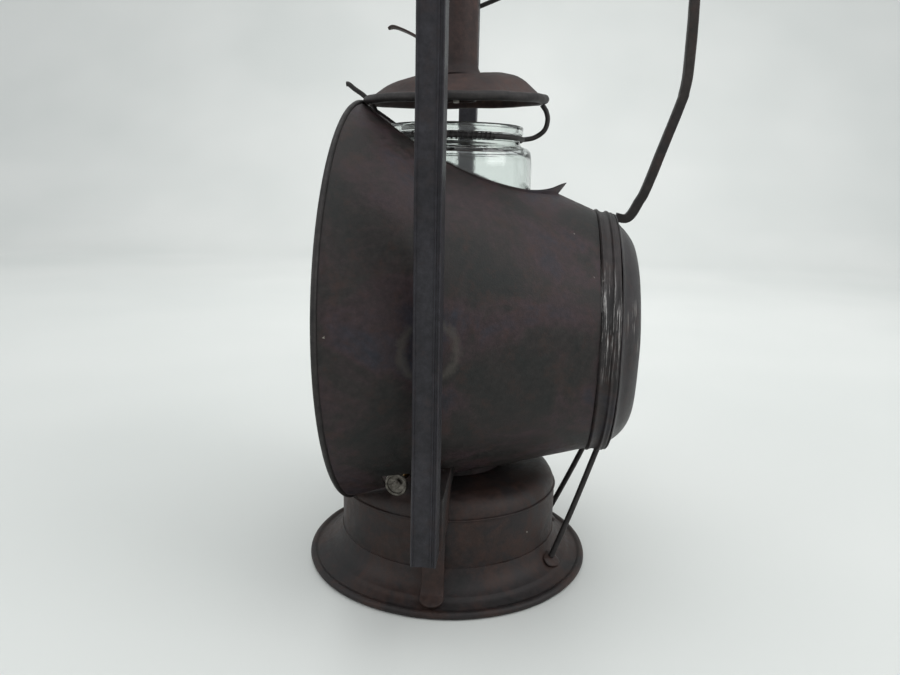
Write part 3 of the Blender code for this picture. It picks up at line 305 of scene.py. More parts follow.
# %% Dress the frame
FINISH_OF = {
    "near_air_tube": TUBE_JAPAN, "far_air_tube": TUBE_JAPAN, "near_crown_elbow": TUBE_JAPAN,
    "far_crown_elbow": TUBE_JAPAN, "near_bail_ear": TUBE_JAPAN, "far_bail_ear": TUBE_JAPAN,
    "foot_flange": FOOT_JAPAN, "fount_drum": FOOT_JAPAN, "filler_collar": FOOT_JAPAN,
    "bell": BELL_JAPAN, "bell_neck": BELL_JAPAN, "thumb_tab": BELL_JAPAN, "crown_cap": BELL_JAPAN,
    "crown_chamber": BELL_JAPAN,
    "hood_mouth_wire": DARK_WIRE, "near_strut": DARK_WIRE, "far_strut": DARK_WIRE, "rear_handle": DARK_WIRE,
    "bail": DARK_WIRE, "guard_wire_near": DARK_WIRE, "guard_wire_far": DARK_WIRE, "guard_spring": DARK_WIRE,
    "chimney_tube": TINPLATE, "spring_rod": TINPLATE, "spring_bar": TINPLATE, "bell_spring": TINPLATE,
    "winder_wheel": TINPLATE, "globe_plate": BRASS, "burner_body": BRASS, "wick_tube": BRASS,
    "burner_cone": BRASS, "winder_shaft": BRASS, "spur_wheel": BRASS, "filler_cap": BRASS,
    "reflector": SILVER, "globe": GLASS, "wick": COTTON,
}
for name, node in NODES.items():
    finish = FINISH_OF.get(name, HOOD_JAPAN)
    if node.material_slots:
        for entry in node.material_slots:
            entry.material = finish
    else:
        node.data.materials.append(finish)
print("dressed", len(NODES), "nodes")

# %% [markdown]
# ## Four ways to make a piece
#
# Nearly everything on the lantern is turned, swept, bent from wire or cut from sheet, so four
# helpers make most of it. A turned piece is drawn as an outline, one vertex extruded from point
# to point, and spun about the Z axis. A swept piece is a flat section extruded ring by ring
# along a path. Wire is a line that becomes a curve with a round bevel. Each starts from a plane
# merged to one vertex, which is the quickest way to begin a drawing in edit mode.

# %% Drawing helpers
def one_selected(piece):
    """Select a single object and make it the active one."""
    bpy.ops.object.select_all(action="DESELECT")
    piece.select_set(True)
    bpy.context.view_layer.objects.active = piece


def first_vertex(name, point):
    """A new mesh of one vertex, left in edit mode."""
    bpy.ops.object.select_all(action="DESELECT")
    bpy.ops.mesh.primitive_plane_add(size=0.01, location=(0, 0, 0))
    piece = bpy.context.object
    piece.name = name
    bpy.ops.object.mode_set(mode="EDIT")
    bpy.ops.mesh.select_all(action="SELECT")
    bpy.ops.mesh.merge(type="CENTER")
    bpy.ops.transform.translate(value=point)
    return piece


def draw_line(points, closed=False):
    """Extrude the chosen vertex from point to point, and join the ends of a closed line."""
    if closed:
        points = points + [points[0]]
    for start, end in zip(points, points[1:]):
        bpy.ops.mesh.extrude_vertices_move(TRANSFORM_OT_translate={"value": end - start})
    bpy.ops.mesh.select_all(action="SELECT")
    if closed:
        bpy.ops.mesh.remove_doubles(threshold=1e-6)
        bpy.ops.mesh.select_all(action="SELECT")


def tidy_mesh():
    """Merge doubles, face everything outwards and leave edit mode."""
    bpy.ops.mesh.select_all(action="SELECT")
    bpy.ops.mesh.remove_doubles(threshold=1e-6)
    bpy.ops.mesh.normals_make_consistent(inside=False)
    bpy.ops.object.mode_set(mode="OBJECT")


def turned(name, outline, steps=128):
    """Spin a (radius, height) outline in millimetres about Z. One that ends on the axis stays open."""
    points = [mm(radius, 0, height) for radius, height in outline]
    piece = first_vertex(name, points[0])
    draw_line(points, closed=not (outline[0][0] == 0 and outline[-1][0] == 0))
    bpy.ops.mesh.spin(steps=steps, angle=math.tau, center=(0, 0, 0), axis=(0, 0, 1))
    tidy_mesh()
    return piece


def rounded(corners, steps=4):
    """Turn each (x, y, radius) corner of an outline into a short curve."""
    outline = []
    for i, (x, y, radius) in enumerate(corners):
        corner = Vector((x, y))
        if radius <= 0:
            outline.append((x, y))
            continue
        back = Vector(corners[i - 1][:2]) - corner
        ahead = Vector(corners[(i + 1) % len(corners)][:2]) - corner
        reach = min(radius, back.length * 0.45, ahead.length * 0.45)
        start = corner + back.normalized() * reach
        end = corner + ahead.normalized() * reach
        for k in range(steps + 1):
            t = k / steps
            spot = start * (1 - t) ** 2 + corner * 2 * t * (1 - t) + end * t * t
            outline.append((spot.x, spot.y))
    return outline


def arc(cx, cy, radius, start, end, steps):
    """Points of an arc, angles in degrees."""
    angles = [math.radians(start + (end - start) * k / steps) for k in range(steps + 1)]
    return [(cx + radius * math.cos(a), cy + radius * math.sin(a)) for a in angles]


print("drawing helpers ready")

# %% [markdown]
# A swept piece needs every ring of its section placed exactly, so after each extrusion the new
# vertices are matched to the ring before and moved. Hand-bent paths are smoothed first, by a
# curve that passes through every point. Old sheet is never flat, so a slow noise pushes the
# vertices about by a fraction of a millimetre, and both faces of a sheet move together.

# %% Sweeping, bending and denting
def swept(name, section, frames, loop=False):
    """Extrude a section, (a, b) in mm, along frames of (centre in mm, side, up, width scale)."""
    rings = []
    for centre, side, up, scale in frames:
        rings.append([Vector(centre) * MM + Vector(side) * (a * MM * scale) + Vector(up) * (b * MM)
                      for a, b in section])
    piece = first_vertex(name, rings[0][0])
    draw_line(rings[0], closed=True)
    bpy.ops.mesh.edge_face_add()
    for before, after in zip(rings, rings[1:]):
        bpy.ops.mesh.extrude_region_move(TRANSFORM_OT_translate={"value": (0, 0, 0)})
        shape = bmesh.from_edit_mesh(piece.data)
        for vert in [v for v in shape.verts if v.select]:
            nearest = min(range(len(before)), key=lambda k: (before[k] - vert.co).length_squared)
            vert.co = after[nearest]
        bmesh.update_edit_mesh(piece.data)
    if loop:
        shape = bmesh.from_edit_mesh(piece.data)
        for face in shape.faces:
            face.select = len(face.verts) > 4
        bmesh.update_edit_mesh(piece.data)
        bpy.ops.mesh.delete(type="ONLY_FACE")
    tidy_mesh()
    return piece


def smooth_path(points, steps=6, closed=False):
    """A smooth line through every point, by Catmull-Rom curves."""
    pts = [Vector(p) for p in points]
    count = len(pts)
    line = []
    for i in range(count if closed else count - 1):
        a = pts[i - 1] if (i > 0 or closed) else pts[0]
        b = pts[i]
        c = pts[(i + 1) % count]
        d = pts[(i + 2) % count] if (i + 2 < count or closed) else pts[-1]
        for k in range(steps):
            t = k / steps
            line.append(0.5 * (2 * b + (c - a) * t + (2 * a - 5 * b + 4 * c - d) * t * t
                               + (3 * b - a - 3 * c + d) * t ** 3))
    if not closed:
        line.append(pts[-1])
    return line


def bent_wire(name, points, radius, closed=False, steps=6, roundness=3):
    """Round wire through points in mm: a drawn line, made a curve with a round bevel, then a mesh."""
    path = [p * MM for p in smooth_path(points, steps, closed)]
    piece = first_vertex(name, path[0])
    draw_line(path, closed)
    bpy.ops.object.mode_set(mode="OBJECT")
    one_selected(piece)
    bpy.ops.object.convert(target="CURVE")
    piece = bpy.context.object
    piece.data.bevel_depth = radius * MM
    piece.data.bevel_resolution = roundness
    piece.data.use_fill_caps = not closed
    bpy.ops.object.convert(target="MESH")
    piece = bpy.context.object
    bpy.ops.object.mode_set(mode="EDIT")
    tidy_mesh()
    return piece


def stand(piece, origin, axis, side=None):
    """Put a piece drawn about Z at origin (mm) with its Z along axis, and apply that to its mesh."""
    one_selected(piece)
    bpy.ops.object.transform_apply(location=False, rotation=False, scale=True)
    z = Vector(axis).normalized()
    x = Vector(side) if side else z.orthogonal()
    x = (x - z * x.dot(z)).normalized()
    piece.matrix_world = Matrix.Translation(Vector(origin) * MM) @ Matrix((x, z.cross(x), z)).transposed().to_4x4()
    one_selected(piece)
    bpy.ops.object.transform_apply(location=True, rotation=True, scale=True)
    return piece


def dent(piece, depth, size, seed=0.0):
    """Push vertices by a smooth noise: depth in mm, over patches of about size mm."""
    shift = Vector((seed, seed * 1.7, seed * 0.6))
    for vert in piece.data.vertices:
        spot = vert.co / (size * MM) + shift
        push = noise.noise_vector(spot) + noise.noise_vector(spot * 2.7) * 0.35
        vert.co += push * (depth * MM)
    return piece


def modify(piece, kind, **settings):
    """Add a modifier with its settings and apply it."""
    one_selected(piece)
    modifier = piece.modifiers.new(kind.lower(), kind)
    for key, value in settings.items():
        setattr(modifier, key, value)
    bpy.ops.object.modifier_apply(modifier=modifier.name)


def soften(piece, width):
    """Round the edges of folded sheet by a bevel of width mm."""
    modify(piece, "BEVEL", width=width * MM, segments=2, limit_method="ANGLE", angle_limit=math.radians(35))


def cut_away(piece, *cutters):
    """Subtract cutters, which are removed afterwards."""
    for cutter in cutters:
        modify(piece, "BOOLEAN", operation="DIFFERENCE", solver="EXACT", object=cutter)
        bpy.data.objects.remove(cutter, do_unlink=True)


BODY_OF = {node: body for body, nodes in frame["record"]["behaviour"]["bodies"].items() for node in nodes}


def complete(piece, material, node, others=(), angle=38, stands_for=True):
    """Smooth a piece, give it its finish and hang it on the body that the node rides on."""
    if not piece.data.polygons:
        raise ValueError(piece.name + " has no faces left")
    one_selected(piece)
    bpy.ops.object.shade_smooth_by_angle(angle=math.radians(angle))
    piece.data.materials.clear()
    piece.data.materials.append(material)
    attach(piece, BODY_OF[node])
    if stands_for:
        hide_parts(node, *others)
    print(piece.name, "has", len(piece.data.polygons), "faces")
    return piece


# %% [markdown]
# ## Foot and fount
#
# The foot is a pressed tin flange with a wired rim, and the fount is a drum with a rounded
# shoulder, joined by a folded seam that shows as a thin step. Both were spun or stamped round,
# so both are turned here. The fillet between them and the groove inside the rim are what catch
# the light, so they are drawn as real curves.

# %% Foot flange and fount drum
FOOT_R = 75.8
RIM_R = 2.4
DRUM_R = 57.8
WALL_TOP = 41.5
SHOULDER_R = 11.5
DRUM_TOP = WALL_TOP + SHOULDER_R
SHEET = 0.8

rim = FOOT_R - RIM_R * 0.8
under = [(0, 0), (60.5, 0)] + rounded([(60.5, 0, 0), (62, 4.2, 1.2), (66, 3.6, 1.0), (70.4, 2.4, 1.0), (71.2, 0.3, 0)])[1:]
over = [(71.9, 3.0), (71.0, 3.3), (68.5, 4.4), (66.9, 5.2), (66.3, 6.1), (65.5, 6.5), (63.6, 7.5), (61.6, 9.4), (60.0, 11.8),
        (59.0, 14.4), (58.3, 17.0), (57.9, 17.2), (57.9, 1.6), (0, 1.6)]
flange = turned("foot_flange_skin", under + arc(rim, RIM_R * 0.8, RIM_R * 0.8, -120, 140, 14) + over, 144)
dent(flange, 0.22, 26, 1.0)
for vert in flange.data.vertices:
    vert.co.z = max(vert.co.z, 0.0)
complete(flange, FOOT_JAPAN, "foot_flange")

ring = DRUM_R - SHOULDER_R
outside = [(DRUM_R, 1.8), (DRUM_R, 20), (DRUM_R, 38)]
outside += rounded([(DRUM_R, 39, 0), (DRUM_R, 41.0, 0.5), (DRUM_R + 0.55, 41.3, 0.3), (DRUM_R + 0.5, 42.0, 0.3),
                    (DRUM_R - 0.35, 42.3, 0)])[1:]
outside += arc(ring, WALL_TOP, SHOULDER_R - 0.3, 8, 88, 14)
outside += [(30, DRUM_TOP - 0.3), (18.6, DRUM_TOP - 0.3), (18, DRUM_TOP + 0.2), (18, DRUM_TOP + 2.5), (17.2, DRUM_TOP + 2.5),
            (17.2, DRUM_TOP - 1.1)]
inside = arc(ring, WALL_TOP, SHOULDER_R - 1.1, 88, 2, 10) + [(DRUM_R - SHEET, 1.8)]
drum = turned("fount_drum_skin", outside + inside, 144)
dent(drum, 0.3, 24, 4.0)
complete(drum, FOOT_JAPAN, "fount_drum")

# %% [markdown]
# The filler sits on the far shoulder at 45 degrees. Its screw cap has a ribbed skirt so that
# oily fingers can turn it: one rib is modelled by insetting a side face, and the same is done
# to all the others at once.

# %% Filler collar and cap
tilt = math.radians(45)
out = Vector((math.cos(math.radians(60)), math.sin(math.radians(60)), 0))
FILLER_AXIS = out * math.sin(tilt) + Vector((0, 0, math.cos(tilt)))
FILLER_SPOT = out * (ring + SHOULDER_R * math.sin(tilt)) + Vector((0, 0, WALL_TOP + SHOULDER_R * math.cos(tilt)))
collar = turned("filler_collar_skin", rounded([(6.5, -4, 0), (7.5, -4, 0), (7.5, 0, 0.3), (9.3, 0.2, 0.3), (9.3, 1.0, 0.3),
                                               (7.5, 1.2, 0.3), (7.5, 5.8, 0.3), (6.5, 6, 0.3)]), 48)
complete(stand(collar, FILLER_SPOT, FILLER_AXIS), FOOT_JAPAN, "filler_collar")
cap = turned("filler_cap_skin", rounded([(7.8, 1.3, 0), (9.6, 1.3, 0.3), (9.6, 7.2, 0.6), (8.4, 8.8, 0.6), (0.001, 9.0, 0),
                                         (0.001, 7.6, 0), (7.8, 7.5, 0)]), 48)
one_selected(cap)
bpy.ops.object.mode_set(mode="EDIT")
shape = bmesh.from_edit_mesh(cap.data)
for face in shape.faces:
    centre = face.calc_center_median()
    round_side = math.hypot(centre.x, centre.y) > mm(9.2) and mm(2.4) < centre.z < mm(6.4)
    face.select = round_side and abs(face.normal.z) < 0.1
bmesh.update_edit_mesh(cap.data)
bpy.ops.mesh.inset(thickness=mm(0.22), depth=-mm(0.3), use_individual=True)
bpy.ops.object.mode_set(mode="OBJECT")
complete(stand(cap, FILLER_SPOT, FILLER_AXIS), BRASS, "filler_cap", angle=28)

# %% [markdown]
# ## The hood
#
# The hood is one cone of sheet that narrows from a mouth 204 mm across to the reflector's
# band. It leans a little, because its lower edge rises to clear the fount. It could be one
# surface with thickness added later, but the cuts for the globe, fount and winder are cleaner
# on a closed wall, so the wall is spun with both its faces, then cut with plain solids.

# %% Hood wall
MOUTH_X, MOUTH_R, MOUTH_Z = -47.8, 102.2, 137.4
REAR_X, REAR_R, REAR_Z = 71.0, 61.5, 126.8
LEAN = (REAR_Z - MOUTH_Z) / (REAR_X - MOUTH_X)


def hood_radius(x):
    return MOUTH_R + (REAR_R - MOUTH_R) * (x - MOUTH_X) / (REAR_X - MOUTH_X)


def hood_centre(x):
    return MOUTH_Z + LEAN * (x - MOUTH_X)


def along_hood(piece):
    """Lay a piece drawn about Z along the hood's axis, and lean it as the hood leans."""
    stand(piece, (0, 0, 0), (1, 0, 0), (0, 0, 1))
    for vert in piece.data.vertices:
        vert.co.z += hood_centre(vert.co.x / MM) * MM
    return piece


rows = 22
EDGE_BACK = 1.6
stations = [MOUTH_X + (REAR_X - MOUTH_X) * k / rows for k in range(rows + 1)]
stations[0] = MOUTH_X + EDGE_BACK
wall = [(hood_radius(x), x) for x in stations] + [(hood_radius(x) - SHEET, x) for x in reversed(stations)]
hood = along_hood(turned("hood_shell_skin", wall, 160))

OPEN_X, OPEN_A, OPEN_B = 3.6, 48.6, 40.0
bpy.ops.object.select_all(action="DESELECT")
bpy.ops.mesh.primitive_cylinder_add(vertices=96, radius=1.0, depth=0.11, location=mm(OPEN_X, 0, 225))
globe_hole = bpy.context.object
globe_hole.scale = (OPEN_A * MM, OPEN_B * MM, 1.0)
fount_hole = turned("fount_hole", [(0, 5), (DRUM_R + 1.2, 5), (DRUM_R + 1.2, WALL_TOP)]
                    + arc(ring, WALL_TOP, SHOULDER_R + 1.2, 0, 90, 12) + [(42, DRUM_TOP + 1.2), (42, 76), (0, 76)], 96)
bpy.ops.object.select_all(action="DESELECT")
bpy.ops.mesh.primitive_cube_add(size=1.0, location=mm(-0.9, 0, 43.5))
duct_hole = bpy.context.object
duct_hole.scale = mm(15.6, 176, 47)
WHEEL = Vector((-19.75, -58.9, 59.6))
bpy.ops.object.select_all(action="DESELECT")
bpy.ops.mesh.primitive_cube_add(size=1.0, location=(WHEEL + Vector((0, 15, -16.5))) * MM)
wheel_hole = bpy.context.object
wheel_hole.scale = mm(12.6, 40, 45)
cut_away(hood, globe_hole, fount_hole, duct_hole, wheel_hole)
dent(hood, 0.42, 38, 7.0)
complete(hood, HOOD_JAPAN, "hood_shell", angle=40)

# %% [markdown]
# The edge of the globe's opening was turned up with pliers to stiffen it, most of all at the
# back, where it ends in a small point. It follows the ellipse of the cut over the cone, so its
# height comes from the cone at each step, and a thin section is swept round it.

# %% Turned-up edge of the opening
def on_hood(x, y):
    """Height of the hood's upper skin over (x, y)."""
    return hood_centre(x) + math.sqrt(hood_radius(x) ** 2 - y * y)


frames = []
turns = 96
for k in range(turns + 1):
    t = math.tau * k / turns
    x = OPEN_X + (OPEN_A + 0.1) * math.cos(t)
    y = (OPEN_B + 0.1) * math.sin(t)
    outward = Vector((math.cos(t) / OPEN_A, math.sin(t) / OPEN_B, 0)).normalized()
    rear = max(0.0, math.cos(t)) ** 40
    broad = max(0.0, math.cos(t)) ** 5
    height = 1.3 + 2.2 * broad + 3.4 * rear + 0.3 * math.sin(5 * t + 1.0)
    tilted = (outward * (0.25 + 0.5 * rear) + Vector((0, 0, 1))).normalized() * height
    frames.append(((x, y, on_hood(x, y) - 0.5), outward, tilted, 1.0))
lip = swept("opening_lip", [(-0.35, 0), (0.35, 0), (0.3, 0.9), (0.12, 1.0), (-0.12, 1.0), (-0.3, 0.9)], frames, loop=True)
complete(lip, HOOD_JAPAN, "hood_shell", stands_for=False)

# %% [markdown]
# The mouth's edge is rolled round a wire. It shows as a dark, slightly uneven bead, which a
# wire bent round the mouth gives. Where the fount interrupts it, the bead is cut away.

# %% Wired mouth edge
bead = []
for k in range(72):
    t = math.tau * k / 72
    wobble = 0.15 * math.sin(3 * t + 0.6)
    radius = MOUTH_R - 1.0 + wobble
    x = MOUTH_X + EDGE_BACK - 0.2
    bead.append((x, radius * math.sin(t), MOUTH_Z + radius * math.cos(t)))
mouth = bent_wire("hood_mouth_bead", bead, 1.45, closed=True, steps=3)
notch = turned("mouth_notch", [(0, 5), (DRUM_R + 1.2, 5), (DRUM_R + 1.2, WALL_TOP)]
               + arc(ring, WALL_TOP, SHOULDER_R + 1.2, 0, 90, 8) + [(0, DRUM_TOP + 1.2)], 64)
cut_away(mouth, notch)
complete(mouth, DARK_WIRE, "hood_mouth_wire")

# %% [markdown]
# ## Rear band, cap and reflector
#
# Behind the cone come a band with two beads and a groove, and a dished cap whose edge rolls
# over softly. All of them are round about the hood's axis, so they are turned and laid along
# it. The reflector is a shallow silvered dish inside.

# %% Band, cap and reflector
BAND_X = REAR_X + 0.3
CAP_X = BAND_X + 9.3 + 0.3
R = REAR_R
band_outline = rounded([(R - 3, BAND_X, 0), (R, BAND_X, 0.2), (R + 0.9, BAND_X + 0.9, 0.7), (R + 0.1, BAND_X + 2.0, 0.5),
                        (R - 0.5, BAND_X + 3.4, 0.8), (R - 0.4, BAND_X + 5.2, 0.6), (R + 0.6, BAND_X + 6.0, 0.6),
                        (R - 0.3, BAND_X + 7.0, 0.5), (R - 0.2, BAND_X + 8.4, 0.4), (R - 0.9, BAND_X + 9.3, 0.3),
                        (R - 3, BAND_X + 9.3, 0)])
band = along_hood(turned("rear_band_skin", band_outline, 144))
dent(band, 0.2, 22, 11.0)
C = 52.0
cap_outline = [(0, CAP_X + 12.2), (15, CAP_X + 12.0), (28, CAP_X + 11.6), (40, CAP_X + 11.0)]
cap_outline += rounded([(40, CAP_X + 11, 0), (C - 5.4, CAP_X + 10.4, 2.5), (C - 1.6, CAP_X + 8.4, 2.2), (C + 1.6, CAP_X + 5.6, 2.5),
                        (C + 3.4, CAP_X + 3.4, 1.5), (C + 5.2, CAP_X + 1.6, 1.2), (R - 0.8, CAP_X + 0.5, 0.3), (R - 0.8, CAP_X, 0),
                        (C + 4.0, CAP_X + 1.0, 0.5), (C + 2.2, CAP_X + 2.8, 1.0), (C + 0.4, CAP_X + 4.9, 1.0),
                        (C - 2.6, CAP_X + 7.5, 2.0), (C - 6, CAP_X + 9.5, 1.5), (40, CAP_X + 10.2, 0)])[1:]
cap_outline += [(28, CAP_X + 10.8), (15, CAP_X + 11.2), (0, CAP_X + 11.4)]
end_cap = along_hood(turned("reflector_cap_skin", cap_outline, 144))
dent(end_cap, 0.3, 30, 13.0)
dish_r = R - 3.3
front = [(dish_r * (1 - k / 12), BAND_X + 1 + 10 * (1 - (1 - k / 12) ** 2)) for k in range(13)]
back = [(radius, x + 0.8) for radius, x in reversed(front)]
dish = along_hood(turned("reflector_skin", front + back, 96))
complete(band, BAND_JAPAN, "rear_band")
complete(end_cap, CAP_JAPAN, "reflector_cap")
complete(dish, SILVER, "reflector")

# %% [markdown]
# ## Air tubes
#
# The two square tubes carry fresh air down to the flame. Each was folded from one strip, and
# the folds stand up as thin ribs beside a slightly sunken face. So the section is drawn with
# its ribs and extruded upwards in many steps, which lets the long edges wander a little.

# %% Square tubes
TUBE_X = -0.9
HALF_W = 5.4
TUBE_D = 13.8
TUBE_IN = hood_radius(TUBE_X - HALF_W) + 0.3
TUBE_OUT = TUBE_IN + TUBE_D
TUBE_LOW, TUBE_HIGH = WALL_TOP, 314.0
face = [(-HALF_W, -0.5), (-HALF_W + 0.3, 0), (-HALF_W + 1.0, 0), (-HALF_W + 1.25, -0.45), (2.6, -0.45), (2.85, -0.1),
        (3.45, -0.1), (3.7, -0.5), (4.5, -0.5), (4.75, 0), (HALF_W - 0.25, 0), (HALF_W, -0.4)]
back = [(HALF_W, -TUBE_D + 0.5), (HALF_W - 0.5, -TUBE_D), (-HALF_W + 0.5, -TUBE_D), (-HALF_W, -TUBE_D + 0.5)]
steps = 46
for sign in (-1, 1):
    side_word = "near" if sign < 0 else "far"
    levels = [TUBE_LOW + (TUBE_HIGH - TUBE_LOW) * k / steps for k in range(steps + 1)]
    frames = [((TUBE_X, sign * TUBE_OUT, z), (1, 0, 0), (0, sign, 0), 1.0) for z in levels]
    tube = swept(side_word + "_tube_skin", face + back, frames)
    for vert in tube.data.vertices:
        spot = Vector((0, sign * 5.0, vert.co.z * 14))
        vert.co.x += noise.noise(spot) * mm(0.35)
        vert.co.y += noise.noise(spot + Vector((3, 0, 0))) * mm(0.3)
    complete(tube, TUBE_JAPAN, side_word + "_air_tube", angle=24)

# %% [markdown]
# Under each tube a folded duct carries the air inwards over the fount's shoulder to the
# burner, and a strap with a rounded end ties the tube down to the foot. The duct's side is a
# flat outline extruded across, and the strap is a flat strip swept down the drum and out over
# the flange, narrowing in a half circle at its end.

# %% Ducts and foot straps
for sign in (-1, 1):
    side_word = "near" if sign < 0 else "far"
    end = TUBE_IN - 0.3
    shoulder = arc(ring, WALL_TOP, SHOULDER_R + 0.9, 0, 75, 8)
    outline = [(end, WALL_TOP)] + shoulder + [(ring - 2, DRUM_TOP + 2), (30.3, DRUM_TOP + 2), (30.3, DRUM_TOP + 13),
                                              (end, DRUM_TOP + 13)]
    frames = [((TUBE_X + offset, 0, 0), (0, sign, 0), (0, 0, 1), 1.0) for offset in (-6.5, -3, 0, 3, 6.5)]
    duct = swept(side_word + "_duct_skin", outline, frames)
    soften(duct, 0.6)
    complete(duct, FOOT_JAPAN, side_word + "_elbow_duct")

    leg = DRUM_R + 0.95
    run = [(leg, WALL_TOP - 0.3), (leg + 1.2, 32), (leg + 3.6, 23), (leg + 5.2, 16), (leg + 6.2, 10.5), (leg + 7.6, 7.9),
           (leg + 10.2, 6.4), (leg + 12.6, 5.4), (leg + 14.0, 4.9)]
    path = smooth_path([(TUBE_X, sign * radius, z) for radius, z in run], 4)
    reach = HALF_W
    ends = []
    for i, spot in enumerate(path):
        ahead = path[min(i + 1, len(path) - 1)] - path[max(i - 1, 0)]
        normal = Vector((1, 0, 0)).cross(ahead).normalized() * sign
        left = (path[-1] - spot).length
        scale = math.sqrt(max(0.02, 1 - (1 - left / reach) ** 2)) if left < reach else 1.0
        scale *= 1.0 + 0.14 * max(0.0, 1 - left / 14)
        ends.append((spot, (1, 0, 0), normal, scale))
    strap = swept(side_word + "_strap_skin", [(-reach, -0.5), (reach, -0.5), (reach - 0.3, 0.6), (-reach + 0.3, 0.6)], ends)
    soften(strap, 0.25)
    complete(strap, FOOT_JAPAN, side_word + "_tube_strap")

# %% [markdown]
# ## Crown and chimney
#
# Each tube turns inwards through an elbow to the crown, where rising hot air and fresh air
# part. The crown is a small drum with a domed, vented lid, and the chimney hangs under it.

# %% Crown elbows
ELBOW_R = 30.0
TUBE_MID = TUBE_IN + TUBE_D / 2
ELBOW_Z = TUBE_HIGH + 0.3 + 2.0 + ELBOW_R
CROWN_R = 24.0
for sign in (-1, 1):
    side_word = "near" if sign < 0 else "far"
    bend = [(TUBE_MID, TUBE_HIGH + 0.3)] + arc(TUBE_MID - ELBOW_R, TUBE_HIGH + 2.3, ELBOW_R, 0, 90, 18)
    bend += [(TUBE_MID - ELBOW_R - 14, ELBOW_Z), (CROWN_R + 0.3, ELBOW_Z)]
    frames = []
    for i, (y, z) in enumerate(bend):
        a = bend[max(i - 1, 0)]
        b = bend[min(i + 1, len(bend) - 1)]
        run = Vector((0, sign * (b[0] - a[0]), b[1] - a[1])).normalized()
        frames.append(((TUBE_X, sign * y, z), (1, 0, 0), Vector((1, 0, 0)).cross(run), 1.0))
    half_d = TUBE_D / 2
    section = rounded([(-HALF_W, -half_d, 0.5), (HALF_W, -half_d, 0.5), (HALF_W, half_d, 0.5), (-HALF_W, half_d, 0.5)], 2)
    elbow = swept(side_word + "_elbow_skin", section, frames)
    complete(elbow, TUBE_JAPAN, side_word + "_crown_elbow", angle=30)

# %% Crown, lid and chimney
CROWN_LOW = ELBOW_Z - 16
CROWN_HIGH = ELBOW_Z + TUBE_D / 2 + 4.5
drum_outline = rounded([(9.3, CROWN_LOW, 0), (CROWN_R, CROWN_LOW, 0.8), (CROWN_R, CROWN_LOW + 3, 0.3),
                        (CROWN_R - 0.35, CROWN_LOW + 3.6, 0.3), (CROWN_R - 0.35, CROWN_HIGH, 0), (CROWN_R - 1.1, CROWN_HIGH, 0),
                        (CROWN_R - 1.1, CROWN_LOW + 0.8, 0.5), (9.3, CROWN_LOW + 0.8, 0)])
chamber = dent(turned("crown_chamber_skin", drum_outline, 96), 0.15, 15, 17.0)
complete(chamber, BELL_JAPAN, "crown_chamber")
skirt = CROWN_R + 0.4
peak = CROWN_HIGH + 14
lid_outline = [(0, peak), (6, peak - 0.4)] + rounded([(6, peak - 0.4, 0), (12, peak - 2, 2), (CROWN_R - 2, CROWN_HIGH + 7, 3),
                                                    (skirt + 0.8, CROWN_HIGH + 1.6, 1.2), (skirt + 0.8, CROWN_HIGH - 3.5, 0.2),
                                                    (skirt, CROWN_HIGH - 3.5, 0.2), (skirt, CROWN_HIGH + 1.2, 0.8),
                                                    (CROWN_R - 2.5, CROWN_HIGH + 6.2, 2), (11.8, peak - 2.8, 1.5),
                                                    (6, peak - 1.2, 0)])[1:] + [(0, peak - 0.8)]
lid = turned("crown_lid", lid_outline, 96)
for k in range(6):
    around = math.tau * (k + 0.5) / 6
    bpy.ops.object.select_all(action="DESELECT")
    bpy.ops.mesh.primitive_cylinder_add(vertices=24, radius=mm(2.2), depth=mm(12),
                                        location=mm(17 * math.cos(around), 17 * math.sin(around), CROWN_HIGH + 8))
    cut_away(lid, bpy.context.object)
complete(dent(lid, 0.15, 14, 19.0), BELL_JAPAN, "crown_cap")
chimney = turned("chimney_skin", rounded([(8.2, 264, 0), (9.0, 264, 0.2), (9.0, 266, 0), (9.0, CROWN_LOW + 4, 0.2),
                                          (8.2, CROWN_LOW + 4, 0)]), 48)
complete(chimney, TINPLATE, "chimney_tube")

# %% [markdown]
# ## Bell and its neck
#
# The bell is a shallow dome over the globe with a thick rolled rim. It slides up on its neck
# so that the globe can come out. A slot lets the finger wire through at the mouth side, and a
# small tab on the neck takes the thumb.

# %% Bell, neck and thumb tab
BELL_R = 46.2
BEAD = 2.1
RIM_Z = 240.6
BELL_TOP = 251.8
FLAT_R = 24.0
rim_c = BELL_R - BEAD
NECK_R = 10.1
bell_outline = rounded([(NECK_R + 0.3, BELL_TOP, 0), (FLAT_R - 4, BELL_TOP + 0.1, 0.5), (FLAT_R - 1, BELL_TOP - 0.2, 1.5),
                        (33, BELL_TOP - 2.9, 4), (40.5, RIM_Z + 2.8, 0)])
bell_outline += arc(rim_c, RIM_Z, BEAD, 78, -176, 16)
bell_outline += rounded([(40.8, RIM_Z + 1.8, 0), (32, BELL_TOP - 4.1, 4), (FLAT_R - 1, BELL_TOP - 1.1, 1.5),
                         (FLAT_R - 4, BELL_TOP - 0.8, 0.5), (NECK_R + 0.3, BELL_TOP - 0.8, 0)])
bell = turned("bell_skin", bell_outline, 128)
bpy.ops.object.select_all(action="DESELECT")
bpy.ops.mesh.primitive_cube_add(size=1.0, location=mm(-45.2, 0, 242.2))
slot = bpy.context.object
slot.scale = mm(10, 3.9, 19)
cut_away(bell, slot)
one_selected(bell)
for tip, axis in ((3.2, "X"), (-1.2, "Y")):
    bell.matrix_world = (Matrix.Translation(mm(0, 0, RIM_Z)) @ Matrix.Rotation(math.radians(tip), 4, axis)
                         @ Matrix.Translation(mm(0, 0, -RIM_Z)))
    bpy.ops.object.transform_apply(location=True, rotation=True, scale=True)
dent(bell, 0.32, 17, 23.0)
